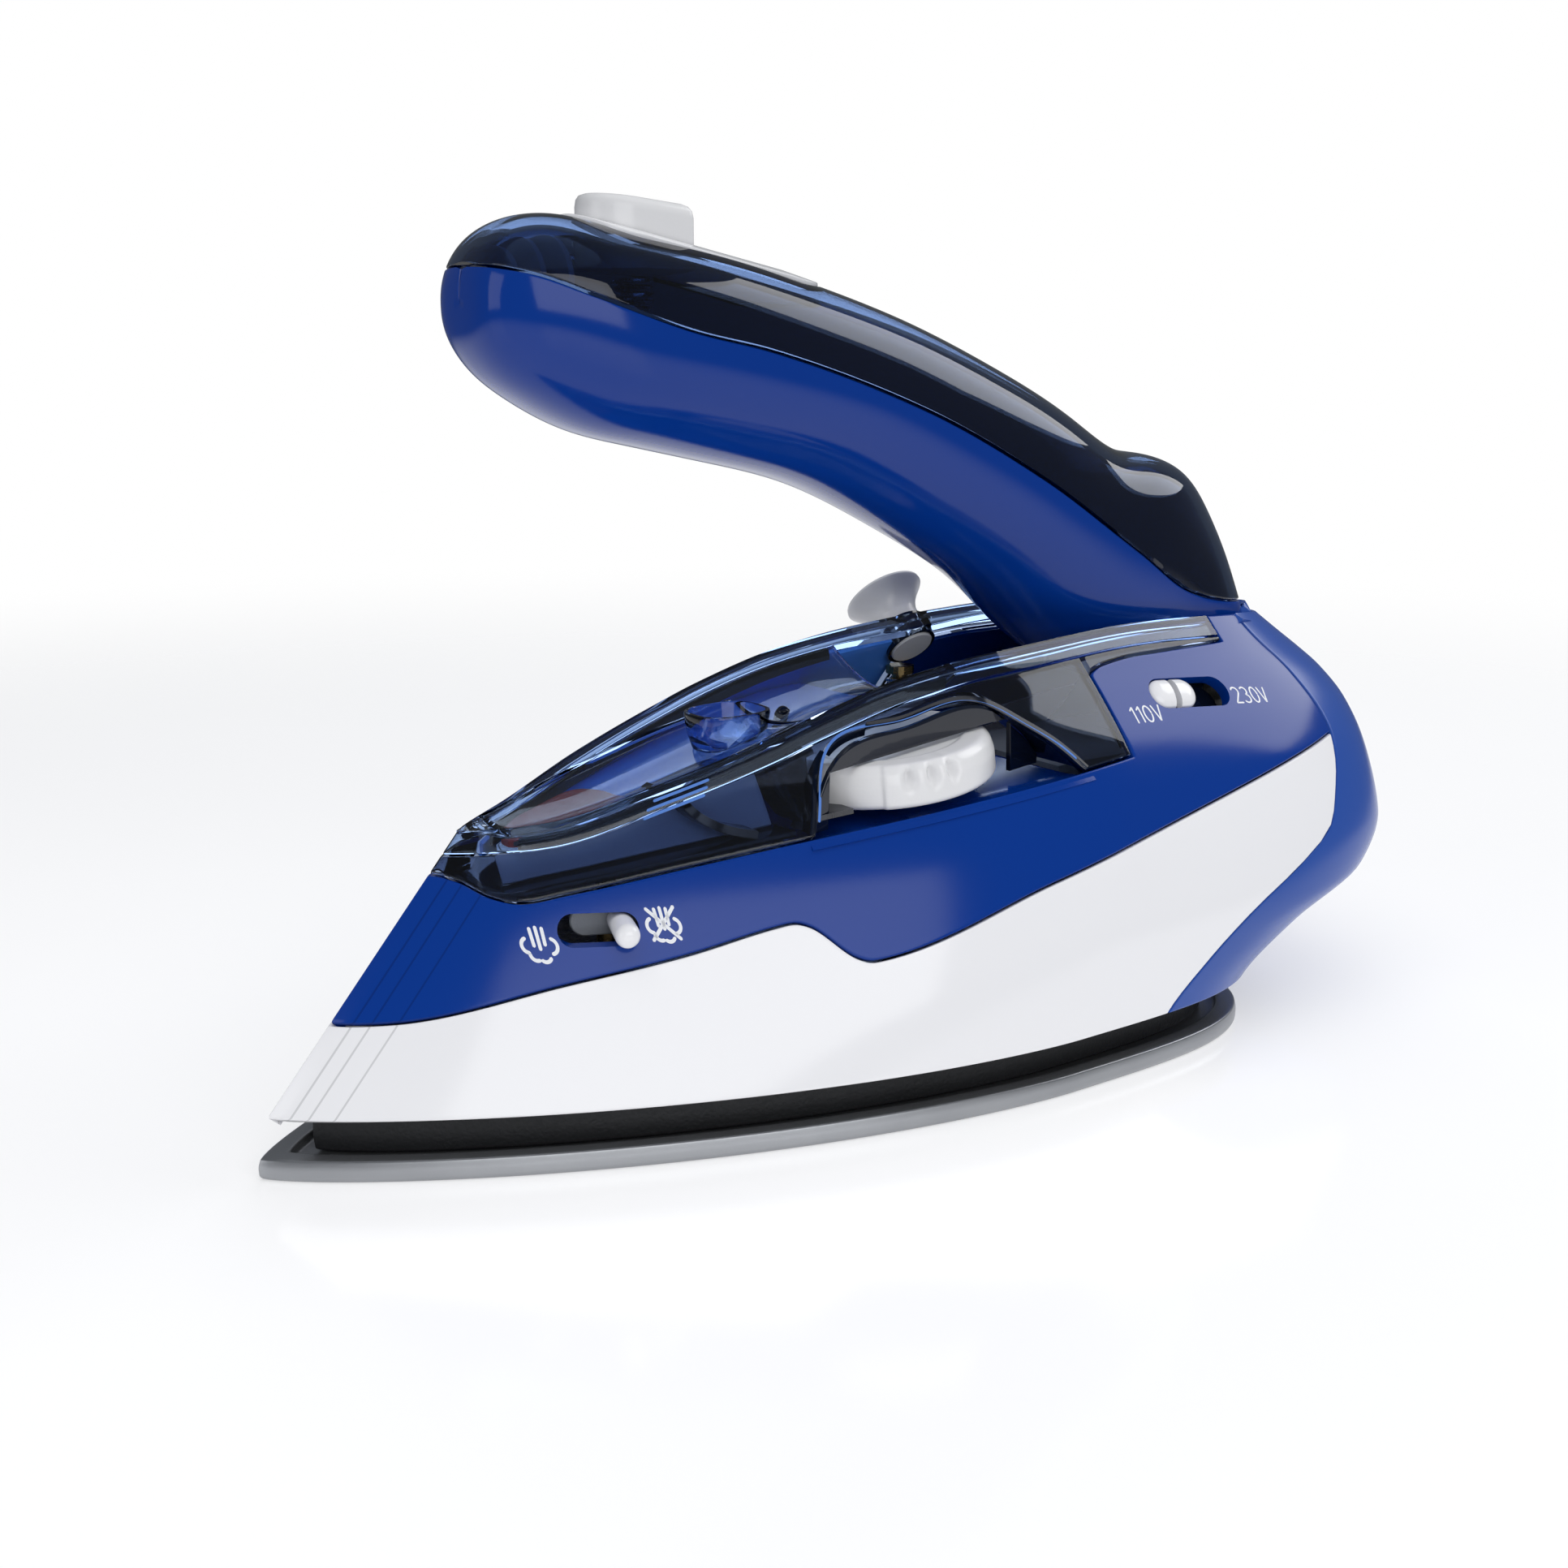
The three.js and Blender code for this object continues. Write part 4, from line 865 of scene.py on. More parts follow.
LID_FRONT = -45.0
LID_BACK = 2.2
WELL_FRONT = 27.0
WELL_HALF = 14.8
lid_half_at = smooth_curve([[-45, 4.4], [-38, 7.4], [-28, 9.6], [-12, 10.8], [2.2, 9.6]], 1)


def deck_point(x, share):
    """The deck's top: share -1..1 runs across from ridge to ridge, and the height falls from the ridge by the
    valley's depth times one minus share squared."""
    ridge = ridge_at(x)
    edge = np.maximum(half_width(x, ridge), 0.001)
    return np.stack([x, share * edge, ridge - valley_at(x) * (1 - share**2)], -1)


def deck_patch(x_values, low, high, across):
    """Part of the deck between two curves of y: rows run across, columns run back."""
    x, k = np.meshgrid(x_values, across)
    edge = np.maximum(half_width(x, ridge_at(x)), 0.001)
    y0, y1 = low(x, edge), high(x, edge)
    return deck_point(x, (y0 + k * (y1 - y0)) / edge)


front_tip = -50.6
for _ in range(30):
    front_tip = float(nose_at(ridge_at(front_tip)))
tip_columns = front_tip + (LID_FRONT - front_tip) * steps(6, 0.35) ** 2
lid_columns = LID_FRONT + (LID_BACK - LID_FRONT) * steps(47, 0.7, True, True)
mid_columns = LID_BACK + (WELL_FRONT - LID_BACK) * steps(25, 0.7, True, True)
well_columns = WELL_FRONT + (84 - WELL_FRONT) * steps(57, 0.8, True, True)
strip = steps(12, 0.8, True, True)
middle = steps(20, 1.0)


def right_edge(x, edge):
    """The deck's edge on the +Y side."""
    return edge


def left_edge(x, edge):
    """The deck's edge on the -Y side."""
    return -edge


def opening_half(x):
    """Half the width of the lid's opening, and behind it of the strip that leads to the well."""
    return np.where(x <= LID_BACK + 0.01, lid_half_at(x) + 0.15,
                    np.interp(x, [LID_BACK, WELL_FRONT], [float(lid_half_at(LID_BACK)) + 0.15, WELL_HALF]))


def inner_right(x, edge):
    """The opening's edge on the +Y side, kept inside the deck's edge."""
    return np.minimum(opening_half(x), edge * 0.97)


def inner_left(x, edge):
    """The opening's edge on the -Y side."""
    return -inner_right(x, edge)


def deck_thickness(x):
    """1.5 mm, thinner towards the nose's tip, and beside the well no more than the room the handle leaves."""
    room = half_width(x, ridge_at(x)) - WELL_HALF - 0.1
    return np.where(x > 26, np.clip(room, 0.3, 1.5), 1.5 * np.clip((x + 49) / 5, 0.12, 1))


deck_sheet = Sheet()
for x_values, closed in ((tip_columns, True), (lid_columns, False), (mid_columns, True), (well_columns, False)):
    deck_sheet.add(deck_patch(x_values, left_edge, inner_left, strip))
    deck_sheet.add(deck_patch(x_values, inner_right, right_edge, strip))
    if closed:
        deck_sheet.add(deck_patch(x_values, inner_left, inner_right, middle))
    # the rim below the ridge, whose columns lean with the nose at the front
    drop, x_top = surface_grid(np.array([DECK_RIM, 2.9, 2.75, 2.0, 1.0, 0.0]), x_values)
    z = ridge_at(x_top) - drop
    lean = np.clip((x_top - LID_FRONT) / (front_tip - LID_FRONT), 0, 1)
    x_rim = x_top - NOSE_LEAN * drop * lean
    rim = np.stack([x_rim, -half_width(x_rim, z), z], -1)
    both_sides(deck_sheet, rim)
deck_piece = piece("deck_top", wall(deck_sheet, deck_thickness, 0.25),
                   "base", smoked_deck, ["deck_cover"], 34)

lid_grid = deck_patch(np.linspace(LID_FRONT + 0.3, LID_BACK - 0.3, 90),
                      lambda x, edge: -(lid_half_at(x) - 0.2), lambda x, edge: lid_half_at(x) - 0.2,
                      steps(18, 0.7, True, True))
piece("lid_plate", wall(Sheet().add(lid_grid), 1.5, 0.3), "lid", smoked_deck, ["filler_lid"])

# the lid's finger tab: a scooped cup whose rim stands above the deck
angle = np.linspace(0, 2 * math.pi, 61)
tab_rows = []
for radius, height in ((0.0, 50.6), (0.55, 50.7), (0.78, 51.6), (0.9, 53.4), (1.0, 56.2), (1.03, 56.5),
                       (1.1, 56.4), (1.12, 56.0), (1.04, 53.2), (0.9, 50.6), (0.6, 49.9), (0.0, 49.8)):
    long = np.sign(np.cos(angle)) * np.abs(np.cos(angle)) ** 0.7 * 5.6
    wide = np.sign(np.sin(angle)) * np.abs(np.sin(angle)) ** 0.7 * 5.0
    tilt = 0.03 * long
    tab_rows.append(np.stack([-4.9 + radius * long, -radius * wide, height + tilt], -1))
piece("lid_tab", Sheet().add(np.array(tab_rows)), "lid", smoked_deck, sharp=50)

# ---------- the recess behind the dial ----------

DIAL_X = 15.2
DIAL_Z = 48.8
RECESS_Y = -19.5
arch_line = spline([[-6.4, 41.9], [-4.6, 46.0], [-1.8, 51.6], [0.4, 53.6], [12, 55.7], [25.2, 57.5],
                    [27.6, 56.9], [31.8, 54.2], [36.1, 50.9], [39.6, 46.9]], np.linspace(0, 1, 140))
# the recess's lining in the near-black navy: painted shade inside the recess
x, k = np.meshgrid(arch_line[:, 0], steps(40, 0.8, True))
z = np.broadcast_to(arch_line[:, 1], x.shape)
skin = -half_width(x, z) + 0.25
inner_wall("recess_lining", np.stack([x, skin + k * (RECESS_Y - skin), z], -1), 1.0, shaded_navy_inside,
           0.2, flip=True)


def dial_top(x):
    """The plane of the dial's top edge, which rises to the rear with the dial's tilt."""
    return DIAL_Z + (3.3 + 0.1142 * (x - DIAL_X)) / 0.9935


# the recess's back: a near-black upright wall that stands just behind the dial's rim, painted shade in the
# recess
x, k = np.meshgrid(np.linspace(-5.6, 38.6, 180), np.linspace(0, 1, 16))
low = np.where(np.abs(x - DIAL_X) < 17.6, dial_top(x) + 0.3, np.interp(x, [-6.4, 39.6], [41.6, 46.6]))
high = np.interp(x, arch_line[:, 0], arch_line[:, 1]) - 0.3
z = low + k * np.maximum(high - low, 0.2)
inner_wall("recess_shade_wall", np.stack([x, np.full(x.shape, -22.8), z], -1), 0.9, shaded_navy_inside)

# the ledge that the dial stands on: blue, from the main shell's top edge inwards
x, k = np.meshgrid(np.linspace(-7.6, 40.6, 120),
                   np.concatenate([[0, 0.006, 0.016, 0.03], np.linspace(0.06, 1, 30)]))
z = seam_front_at(x) - 0.45 - 1.0 * np.clip(k * 6, 0, 1) ** 0.6
skin = -half_width(x, z) + 0.1
inner_wall("dial_ledge", np.stack([x, skin + k * (5.6 - skin), z], -1), 1.2, blue_gloss)

# ---------- inside the tank ----------

# the tank's floor in the near-black navy: painted shade inside the tank
x, k = np.meshgrid(np.linspace(-49.0, -8.2, 90), np.linspace(-1, 1, 40))
z = seam_front_at(x) + 0.9
half = np.clip(half_width(x, z) - 2.0, 0.2, None)
tank_floor = inner_wall("tank_floor", np.stack([x, k * half, z], -1), 0.9, shaded_navy_inside)
needle_low, needle_high = (np.array(corner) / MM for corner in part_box("needle_valve"))
needle_axes = frame_axes([*(needle_low + needle_high)[:2] / 2, 40], [1, 0, 0], [0, 0, 1])
cut_out(tank_floor, turned(drill(3.4, -9, 9), needle_axes, 48))

# the far side's inner wall and the pan beside it, in a royal blue lighter than the body's: painted light that
# shows through the deck
x, k = np.meshgrid(np.linspace(-44, 46, 150), np.linspace(0, 1, 24))
low = np.maximum(seam_front_at(x) + 2.0, 38)
z = low + k * (ridge_at(x) - 4.6 - low)
y = np.clip(half_width(x, z) - 3.4, 1.0, None)
inner_wall("far_liner", np.stack([x, y, z], -1), 0.8, lit_royal_inside)
x, k = np.meshgrid(np.linspace(-30, 25.8, 120), np.linspace(0, 1, 30))
z = ridge_at(x) - valley_at(x) - 4.6 + 1.5 * k
y = -4.0 + k * (np.clip(half_width(x, z) - 3.6, 2, None) + 4.0)
inner_wall("steam_pan", np.stack([x, y, z], -1), 0.8, lit_royal_inside)

# curved dark sheets between the tank's walls, painted reflection bands seen through the tank: arcs about a place
# beside the dial, and a long S-shaped one
for number, radius in enumerate((21.5, 25.0)):
    t, k = np.meshgrid(np.linspace(math.radians(150), math.radians(222), 60), np.linspace(0, 1, 20))
    x = 17.0 + radius * np.cos(t)
    z = 47.0 + 0.62 * radius * np.sin(t) + 1.0
    z = np.clip(z, seam_front_at(x) + 1.4, under_deck(x) - 1.2)
    inner_wall(f"tank_reflection_band_{number + 1}", np.stack([x, -half_width(x, z) + 2.2 + k * 7.0, z], -1), 0.9,
               shaded_navy_inside, flip=True)
line = spline([[-23.0, 47.6], [-21.6, 45.2], [-17.8, 42.6], [-13.8, 41.6]], np.linspace(0, 1, 70))
x, k = np.meshgrid(line[:, 0], np.linspace(0, 1, 16))
z = np.broadcast_to(line[:, 1], x.shape)
inner_wall("tank_reflection_band_3", np.stack([x, -half_width(x, z) + 2.0 + k * 9, z], -1), 1.3, shaded_navy_inside,
           flip=True)

# dark bands under the ridges, painted shade that makes the ridges read black: up the inside of the rim, then
# inwards just under the deck's top
x, k = np.meshgrid(np.linspace(-43, 25.5, 160), np.linspace(0, 1, 14))
edge = half_width(x, ridge_at(x))
across = np.where(k < 0.4, 2.0, 2.0 + (k - 0.4) / 0.6 * np.interp(x, [-43, -20, 26], [1.2, 3.4, 3.4]))
share = (edge - across) / edge
z = np.where(k < 0.4, ridge_at(x) - 4.6 + k / 0.4 * 2.5, ridge_at(x) - valley_at(x) * (1 - share**2) - 2.1)
band = np.stack([x, across - edge, z], -1)
inner_wall("near_rim_shade_band", band, 0.6, black_moulding)
inner_wall("far_rim_shade_band", mirrored(band[:6]), 0.6, black_moulding, flip=True)

# the vent post that stands in the deck: a round-topped pin, near-black with the painted shade inside the tank
post_axes = frame_axes([6.4, 1.0, 50.6], [1.0, 0, 0], [0, 0, 1.0])
piece("vent_post", turned([(0, 0), (1.2, 0), (1.2, 3.6), (1.05, 4.3), (0.6, 4.8), (0, 5)], post_axes, 32),
      "base", shaded_navy_inside)

# the red seal under the lid: a curved tongue that follows the deck
x, k = np.meshgrid(np.linspace(-42.6, -24.6, 70), np.linspace(-1, 1, 24))
half = np.clip(lid_half_at(x) - 2.0, 0.5, None) * np.sqrt(np.clip(1 - ((x + 33.6) / 9.1) ** 4, 0.02, 1))
grid = deck_point(x, k * half / half_width(x, ridge_at(x)))
grid[..., 2] -= 2.1
piece("lid_seal", wall(Sheet().add(grid), 0.9, 0.2), "lid", red_rubber, ["filler_seal"])

# the dark channel that runs back from the seal to the tab, and the inner wall behind the tank's near side
x, k = np.meshgrid(np.linspace(-33.5, -8.5, 90), np.linspace(-1, 1, 16))
half = 2.6 * np.sqrt(np.clip(1 - ((x + 21) / 12.6) ** 6, 0.01, 1))
z = ridge_at(x) - valley_at(x) - 2.6 - 0.02 * (x + 8.5) ** 2 * 0.12
inner_wall("filler_channel", np.stack([x, -3.0 + k * half, z], -1), 1.0, black_moulding, 0.2)
x, k = np.meshgrid(np.linspace(-45.5, -9.5, 120), np.linspace(0, 1, 20))
z = seam_front_at(x) + 1.4 + k * (ridge_at(x) - 4.4 - seam_front_at(x) - 1.4)
y = -np.clip(half_width(x, z) - 5.5, 0.6, None)
inner_wall("tank_inner_wall", np.stack([x, y, z], -1), 0.8, slate_inside)

# ---------- controls ----------

dial_out = np.array([-0.115, 0, 1.0]) / np.linalg.norm([-0.115, 0, 1.0])
dial_axes = frame_axes([DIAL_X, -13.4, DIAL_Z], [1, 0, 0], dial_out)


def dial_shape(r, h, a):
    """The dial's rim: it steps in by 0.45 mm past the pointer's angle, its top edge is scalloped, and three
    teardrop grips are hollowed in it, each a product of two bell curves."""
    wrapped = (a + math.pi) % (2 * math.pi) - math.pi
    rim = np.clip((r - 11) / 5, 0, 1)
    step_in = 0.45 / (1 + np.exp(np.clip((wrapped - math.radians(-129)) / 0.006, -40, 40))) * (wrapped > -3.07)
    r = r - step_in * rim
    for centre in (-115.5, -102.5, -90.5):
        bell = np.exp(-((wrapped - math.radians(centre)) / 0.052) ** 2)
        tall = np.exp(-((h - 1.2) / 1.35) ** 2)
        r = r - 2.0 * bell * tall * rim
        h = h - 0.12 * bell * rim * (h > 2.5)
    return r, h


dial_profile = rounded_profile([(0, -3.3), (16.4, -3.3), (17.05, -2.7), (17.0, 0.4), (16.5, 2.2), (15.5, 3.2),
                                (12.5, 3.3), (11.8, 2.9), (0, 2.9)], 0.5)
fine_profile = []
for p, q in zip(dial_profile[:-1], dial_profile[1:]):
    count = max(int(np.linalg.norm(q - p) / 0.45), 1) if p[0] > 9 else 1
    fine_profile.extend(p + (q - p) * k / count for k in range(count))
fine_profile.append(dial_profile[-1])
piece("dial_disc", turned(fine_profile, dial_axes, 420, dial_shape),
      "dial", white_satin, ["temperature_dial"], 45)

lever_along = np.array([-0.928, 0.371, 0])
lever_out = np.array([-0.371, -0.928, 0])
lever_place = np.array([-35, -18.5, 31.8])
slot_axes = frame_axes(lever_place + lever_along * 3.5, lever_along, lever_out)
cut_out(main_piece, stadium_block(3.5, drill(2.15, -7, 6), slot_axes))
peg_axes = frame_axes(lever_place, lever_along, lever_out)
peg_profile = [(0, -4.7), (1.72, -4.7), (1.78, 2.9), (1.7, 3.5), (1.45, 4.05), (1.0, 4.42), (0.5, 4.57),
               (0, 4.6)]
piece("lever_peg", turned(peg_profile, peg_axes, 48), "lever", white_gloss, ["steam_lever"],
      50)
plate_axes = frame_axes(lever_place + lever_along * 1.0 - lever_out * 5.4, lever_along, lever_out)
plate_profile = [(0, -0.9), (2.0, -0.9), (2.3, -0.6), (2.3, 0), (2.1, 0.2), (0, 0.2)]
piece("lever_carrier", stadium_block(3.6, plate_profile, plate_axes), "lever", grey_moulding)

SELECTOR_MIDDLE = 3.75    # the middle of the selector's travel


def selector_axes(along=0.0, up=0.0):
    """The selector's axes, moved along its slot and up out of it."""
    slide, out = np.array([0.994, 0, -0.106]), np.array([0, -0.76, 0.65])
    place = np.array([65.2, -26, 54.9]) + slide * along + out / np.linalg.norm(out) * up
    return frame_axes(place, slide, out)


cut_out(main_piece, stadium_block(5.95, drill(2.9, -5, 5), selector_axes(SELECTOR_MIDDLE)))
dome = [(0, -3.1), (2.5, -3.1), (2.74, -2.9), (2.74, 0), (2.6, 0.45), (2.2, 0.85), (1.6, 1.15), (0.8, 1.32),
        (0, 1.36)]
knob_piece = piece("selector_knob", stadium_block(2.2, dome, selector_axes()),
                   "selector", white_gloss, ["voltage_selector"], 50)
cut_out(knob_piece, block((1.3, 9, 2.4), selector_axes(up=0.2), 0.15))
piece("selector_slit", block((0.96, 4.7, 0.4), selector_axes(up=-0.6), 0.08), "selector", black_moulding)
# the slot's floor in the near-black navy: painted shade under the selector
floor_profile = [(0, -0.4), (3.4, -0.4), (3.6, 0), (3.4, 0.4), (0, 0.4)]
piece("selector_floor", stadium_block(6.2, floor_profile, selector_axes(SELECTOR_MIDDLE, -3.9)),
      "base", shaded_navy_inside)

pump_out = np.array([0, 1, 1.0]) / math.sqrt(2)
pump_axes = frame_axes([47, 21, 61.2], [1, 0, 0], pump_out)
for shell in (main_piece, deck_piece, tank_piece):
    cut_out(shell, turned(drill(4.6, -8, 9), pump_axes, 40))
# the sleeve in the button's hole, in the near-black navy: painted shade in the hole
piece("pump_sleeve", turned([(4.15, 0.9), (4.15, -3.6), (4.55, -3.6), (4.55, 0.9), (4.15, 0.9)], pump_axes, 64),
      "base", shaded_navy_inside)
flare = spline([[4.0, 2.6], [4.25, 3.5], [5.0, 4.9], [6.2, 6.3], [6.95, 7.1]], np.linspace(0, 1, 16))
pump_profile = [(0, -3.9), (3.7, -3.9), (3.9, -3.7), (4.0, 0), *map(tuple, flare), (7.15, 7.4), (7.1, 7.75),
                (6.7, 7.95), (5.5, 8.12), (3, 8.3), (0, 8.38)]
piece("shot_button", turned(pump_profile, pump_axes, 96),
      "shot_button", white_satin, ["steam_shot_button"], 40)

# ---------- handle ----------

HANDLE_POWER = 2.3    # how square the handle's section is: 2 is an ellipse
HANDLE_WALL = 1.9
PANEL_X = -10.6
PANEL_HALF = 12.4
BUTTON_MIDDLE = np.array([-19.5, 0])

handle_rows = np.array([
    [-47.4, 117, -47.4, 115.5, 1.5], [-46.8, 121, -46.8, 111.2, 6.5], [-44.4, 124.9, -44.4, 107.4, 10],
    [-37.4, 128, -39.6, 103.6, 13.6], [-28, 127.2, -32.4, 99.8, 15.8], [-12, 124.4, -22, 96.8, 16.8],
    [4, 120.7, -8, 93.8, 16.6], [24, 115, 9, 89.4, 15.6], [43, 107.8, 25, 82.2, 14.8],
    [60.4, 99.6, 37, 75.8, 14.4], [72, 93.6, 45, 70.4, 14.2], [80, 92.2, 52, 64.4, 14.1],
    [88, 89.8, 61, 58, 14], [93.2, 84.6, 72, 53, 13.6], [97.2, 77.6, 84, 50.6, 13],
    [100, 70.6, 95, 53, 11.4], [102, 65.2, 99.6, 57, 8.6], [101.8, 62.4, 101, 60.2, 3]])
handle_seam_at = smooth_curve([[-60, 121.6], [-50, 121.6], [-43, 120.4], [-35, 117.4], [-20.4, 112.7],
                               [-8.3, 110.2], [21.3, 101.3], [46.6, 90], [69.4, 76.8], [82, 69.4],
                               [90, 67.2], [96, 66.4], [120, 65]], 1.5)
along = np.concatenate([np.linspace(0, 1, 56)[:-1] ** 1.3 * 0.12, 0.12 + 0.88 * np.linspace(0, 1, 230)])
stations = spline(handle_rows, along)
tips = np.array([[-47.5, 116.26, -47.5, 116.24, 0.01], [101.5, 61.31, 101.5, 61.29, 0.01]])
stations = np.concatenate([tips[:1], stations, tips[1:]])


def handle_point(row, angle, inset=0.0):
    """A point on the handle's skin: up the section by |cos|^0.87 and out by |sin|^0.87 of its half sizes."""
    top, bottom, width = stations[row, 0:2], stations[row, 2:4], stations[row, 4]
    half = np.linalg.norm(top - bottom, axis=-1) / 2
    up = np.sign(np.cos(angle)) * np.abs(np.cos(angle)) ** (2 / HANDLE_POWER)
    up = up * np.clip((half - inset) / half, 0, 1) / 2
    out = np.sign(np.sin(angle)) * np.abs(np.sin(angle)) ** (2 / HANDLE_POWER) * np.clip(width - inset, 0, None)
    middle = (top + bottom) / 2
    return np.stack([middle[..., 0] + (top - bottom)[..., 0] * up, out,
                     middle[..., 1] + (top - bottom)[..., 1] * up], -1)


def seam_angle(gap):
    """For each station, the angle from the top at which the section crosses the handle's seam, by halving."""
    rows = np.arange(len(stations))
    low = np.full(len(rows), 0.02)
    high = np.full(len(rows), math.pi - 0.02)
    for _ in range(40):
        middle = (low + high) / 2
        p = handle_point(rows, middle)
        above = p[:, 2] > handle_seam_at(p[:, 0]) + gap
        low = np.where(above, middle, low)
        high = np.where(above, high, middle)
    return low


def handle_skin(from_angle, to_angle, count, rows):
    """The skin between two angles at each station, with close columns near both edges."""
    k = steps(30, 30 / count, True, True)
    angle = from_angle[rows][:, None] + k[None] * (to_angle - from_angle)[rows][:, None]
    return handle_point(np.repeat(rows[:, None], len(k), 1), angle)


seam_up = seam_angle(0.0)
seam_down = seam_angle(-GAP)
used = np.flatnonzero((seam_up > 0.03) & (np.arange(len(stations)) > 0))
cover_grid = handle_skin(seam_up, -seam_up, 96, used)
cover_piece = piece("handle_cover", wall(Sheet().add(cover_grid), HANDLE_WALL, 0.3),
                    "handle", smoked_handle, ["handle_upper_cover"])
everything = np.arange(len(stations))
grip_grid = handle_skin(seam_down, 2 * math.pi - seam_down, 110, everything)
piece("handle_grip", wall(Sheet().add(grip_grid, flip=True), HANDLE_WALL, 0.3), "handle", blue_gloss,
      ["handle_lower_shell"])

# white panel set into the cover, and its D-shaped button
panel_axes = frame_axes([PANEL_X, 0, 0], [1, 0, 0], [0, 0, 1])
cut_out(cover_piece, stadium_block(PANEL_HALF, drill(8.7, 112, 140), panel_axes, 30))


def handle_top(x, y):
    """The height of the handle's top skin over a place in plan: the angle is read from the half-width y, and the
    station is moved by the error left in x, in turn."""
    y = np.abs(y)
    station = np.full(np.shape(x), 60.0)
    angle = np.zeros(np.shape(x))
    index = np.arange(len(stations), dtype=float)
    for _ in range(40):
        values = np.stack([np.interp(station, index, stations[:, k]) for k in range(5)], -1)
        angle = np.arcsin(np.clip(y / values[..., 4], 0, 0.999) ** (HANDLE_POWER / 2))
        up = np.cos(angle) ** (2 / HANDLE_POWER) / 2
        at_x = (values[..., 0] + values[..., 2]) / 2 + (values[..., 0] - values[..., 2]) * up
        station = np.clip(station + 0.8 * (x - at_x), 10, len(stations) - 2)
    return (values[..., 1] + values[..., 3]) / 2 + (values[..., 1] - values[..., 3]) * up


panel_rows = []
for share in np.concatenate([[0.0], np.linspace(0.05, 0.94, 18), [0.965, 0.985, 1.0]]):
    ring = stadium_ring(PANEL_HALF, 8.4, 40)
    ring[:, 1] = ring[:, 1] * share
    straight = np.clip(ring[:, 0], -PANEL_HALF, PANEL_HALF)
    ring[:, 0] = PANEL_X + straight + (ring[:, 0] - straight) * share
    panel_rows.append(np.column_stack([ring, handle_top(ring[:, 0], ring[:, 1]) + 0.45]))
panel_piece = piece("grip_panel", wall(Sheet().add(np.array(panel_rows), flip=True), 1.8, 0.35),
                    "handle", white_gloss, ["handle_panel"])


def button_ring(radius, count=26):
    """The D-shaped outline: a half circle at the front and a flat back with small round corners."""
    a = np.linspace(math.pi / 2, 1.5 * math.pi, count)
    front = np.stack([-22.6 + radius * np.cos(a), radius * np.sin(a)], -1)
    back_x = -13.4 - (6 - radius)
    r = min(1.0, radius * 0.4)
    a = np.linspace(-math.pi / 2, 0, 8)
    low = np.stack([back_x - r + r * np.cos(a), -radius + r + r * np.sin(a)], -1)
    high = np.stack([low[::-1, 0], -low[::-1, 1]], -1)
    ring = np.concatenate([front, low, high])
    return np.concatenate([ring, ring[:1]])


def button_stack(rows, tilt=0.0):
    """The D-shaped outline carried up through rows of (radius, height) and closed on one point at both ends.
    Above the panel the height falls towards the back by the tilt."""
    stack = []
    for radius, height in rows:
        ring = button_ring(radius) if radius else np.zeros_like(button_ring(1.0)) + BUTTON_MIDDLE
        drop = tilt * (ring[:, 0] + 28.5) * (height > 122)
        stack.append(np.column_stack([ring, height - drop]))
    return Sheet().add(np.array(stack))


button = button_stack([(0, 121.2), (5.95, 121.2), (5.95, 129.4), (5.8, 130.3), (5.4, 130.9), (4.8, 131.15),
                       (3.5, 131.25), (2.0, 131.28), (0, 131.3)], 0.10)
cut_out(panel_piece, button_stack(drill(6.2, 112, 140)))
piece("fold_button", button, "release", white_satin, ["release_button"], 40)

# ribs inside the front of the handle, seen through the cover
for number, row_at in enumerate((20, 29, 37, 44, 51)):
    angle = np.linspace(-1.35, 1.35, 50)
    outer_line = handle_point(np.full(50, row_at), angle, 2.6)
    inner_line = handle_point(np.full(50, row_at), angle, 6.5)
    k = np.linspace(0, 1, 8)[:, None, None]
    piece(f"handle_rib_{number + 1}", wall(Sheet().add(outer_line + k * (inner_line - outer_line)), 0.9, 0.1),
          "handle", slat_grey)

# ---------- printed marks ----------


def stroke(path, width, to_body, lift=0.06):
    """A printed stroke: points along a path, spread to both sides of it by half the width with a round end,
    then carried onto the body and given a film's thickness."""
    path = np.array(path, float)
    length = np.concatenate([[0], np.cumsum(np.linalg.norm(np.diff(path, axis=0), axis=1))])
    count = max(int(length[-1] / 0.12), 8)
    t = np.linspace(0, length[-1], count)
    line = np.stack([np.interp(t, length, path[:, k]) for k in (0, 1)], -1)
    way = np.gradient(line, axis=0)
    way = way / np.linalg.norm(way, axis=1, keepdims=True)
    side = np.stack([-way[:, 1], way[:, 0]], -1)
    end = np.minimum(t, length[-1] - t)
    half = width / 2 * np.sqrt(np.clip(1 - np.clip(1 - end / (width / 2), 0, 1) ** 2, 0.02, 1))
    k = np.linspace(-1, 1, 5)
    grid = line[None] + k[:, None, None] * (side * half[:, None])[None]
    on_body = to_body(grid[..., 0], grid[..., 1], lift)
    return wall(Sheet().add(on_body), 0.05, 0.0)


def side_mark(x0, z0, x_scale, z_scale, rise=0.0):
    """Carries a flat mark onto the -Y side: its u runs back along X and its v runs up."""
    def to_body(u, v, lift):
        x = x0 + u * x_scale
        z = z0 + v * z_scale + u * rise
        return np.stack([x, -half_width(x, z) - lift, z], -1)
    return to_body


def print_marks(name, paths, width, to_body):
    """Printed strokes joined into one piece."""
    all_points, all_faces, count = [], [], 0
    for path in paths:
        points, faces = stroke(path, width, to_body)
        all_points.append(points)
        all_faces.append(faces + count)
        count += len(points)
    return piece(name, (np.concatenate(all_points), np.concatenate(all_faces)), "base", print_white,
                 sharp=60)


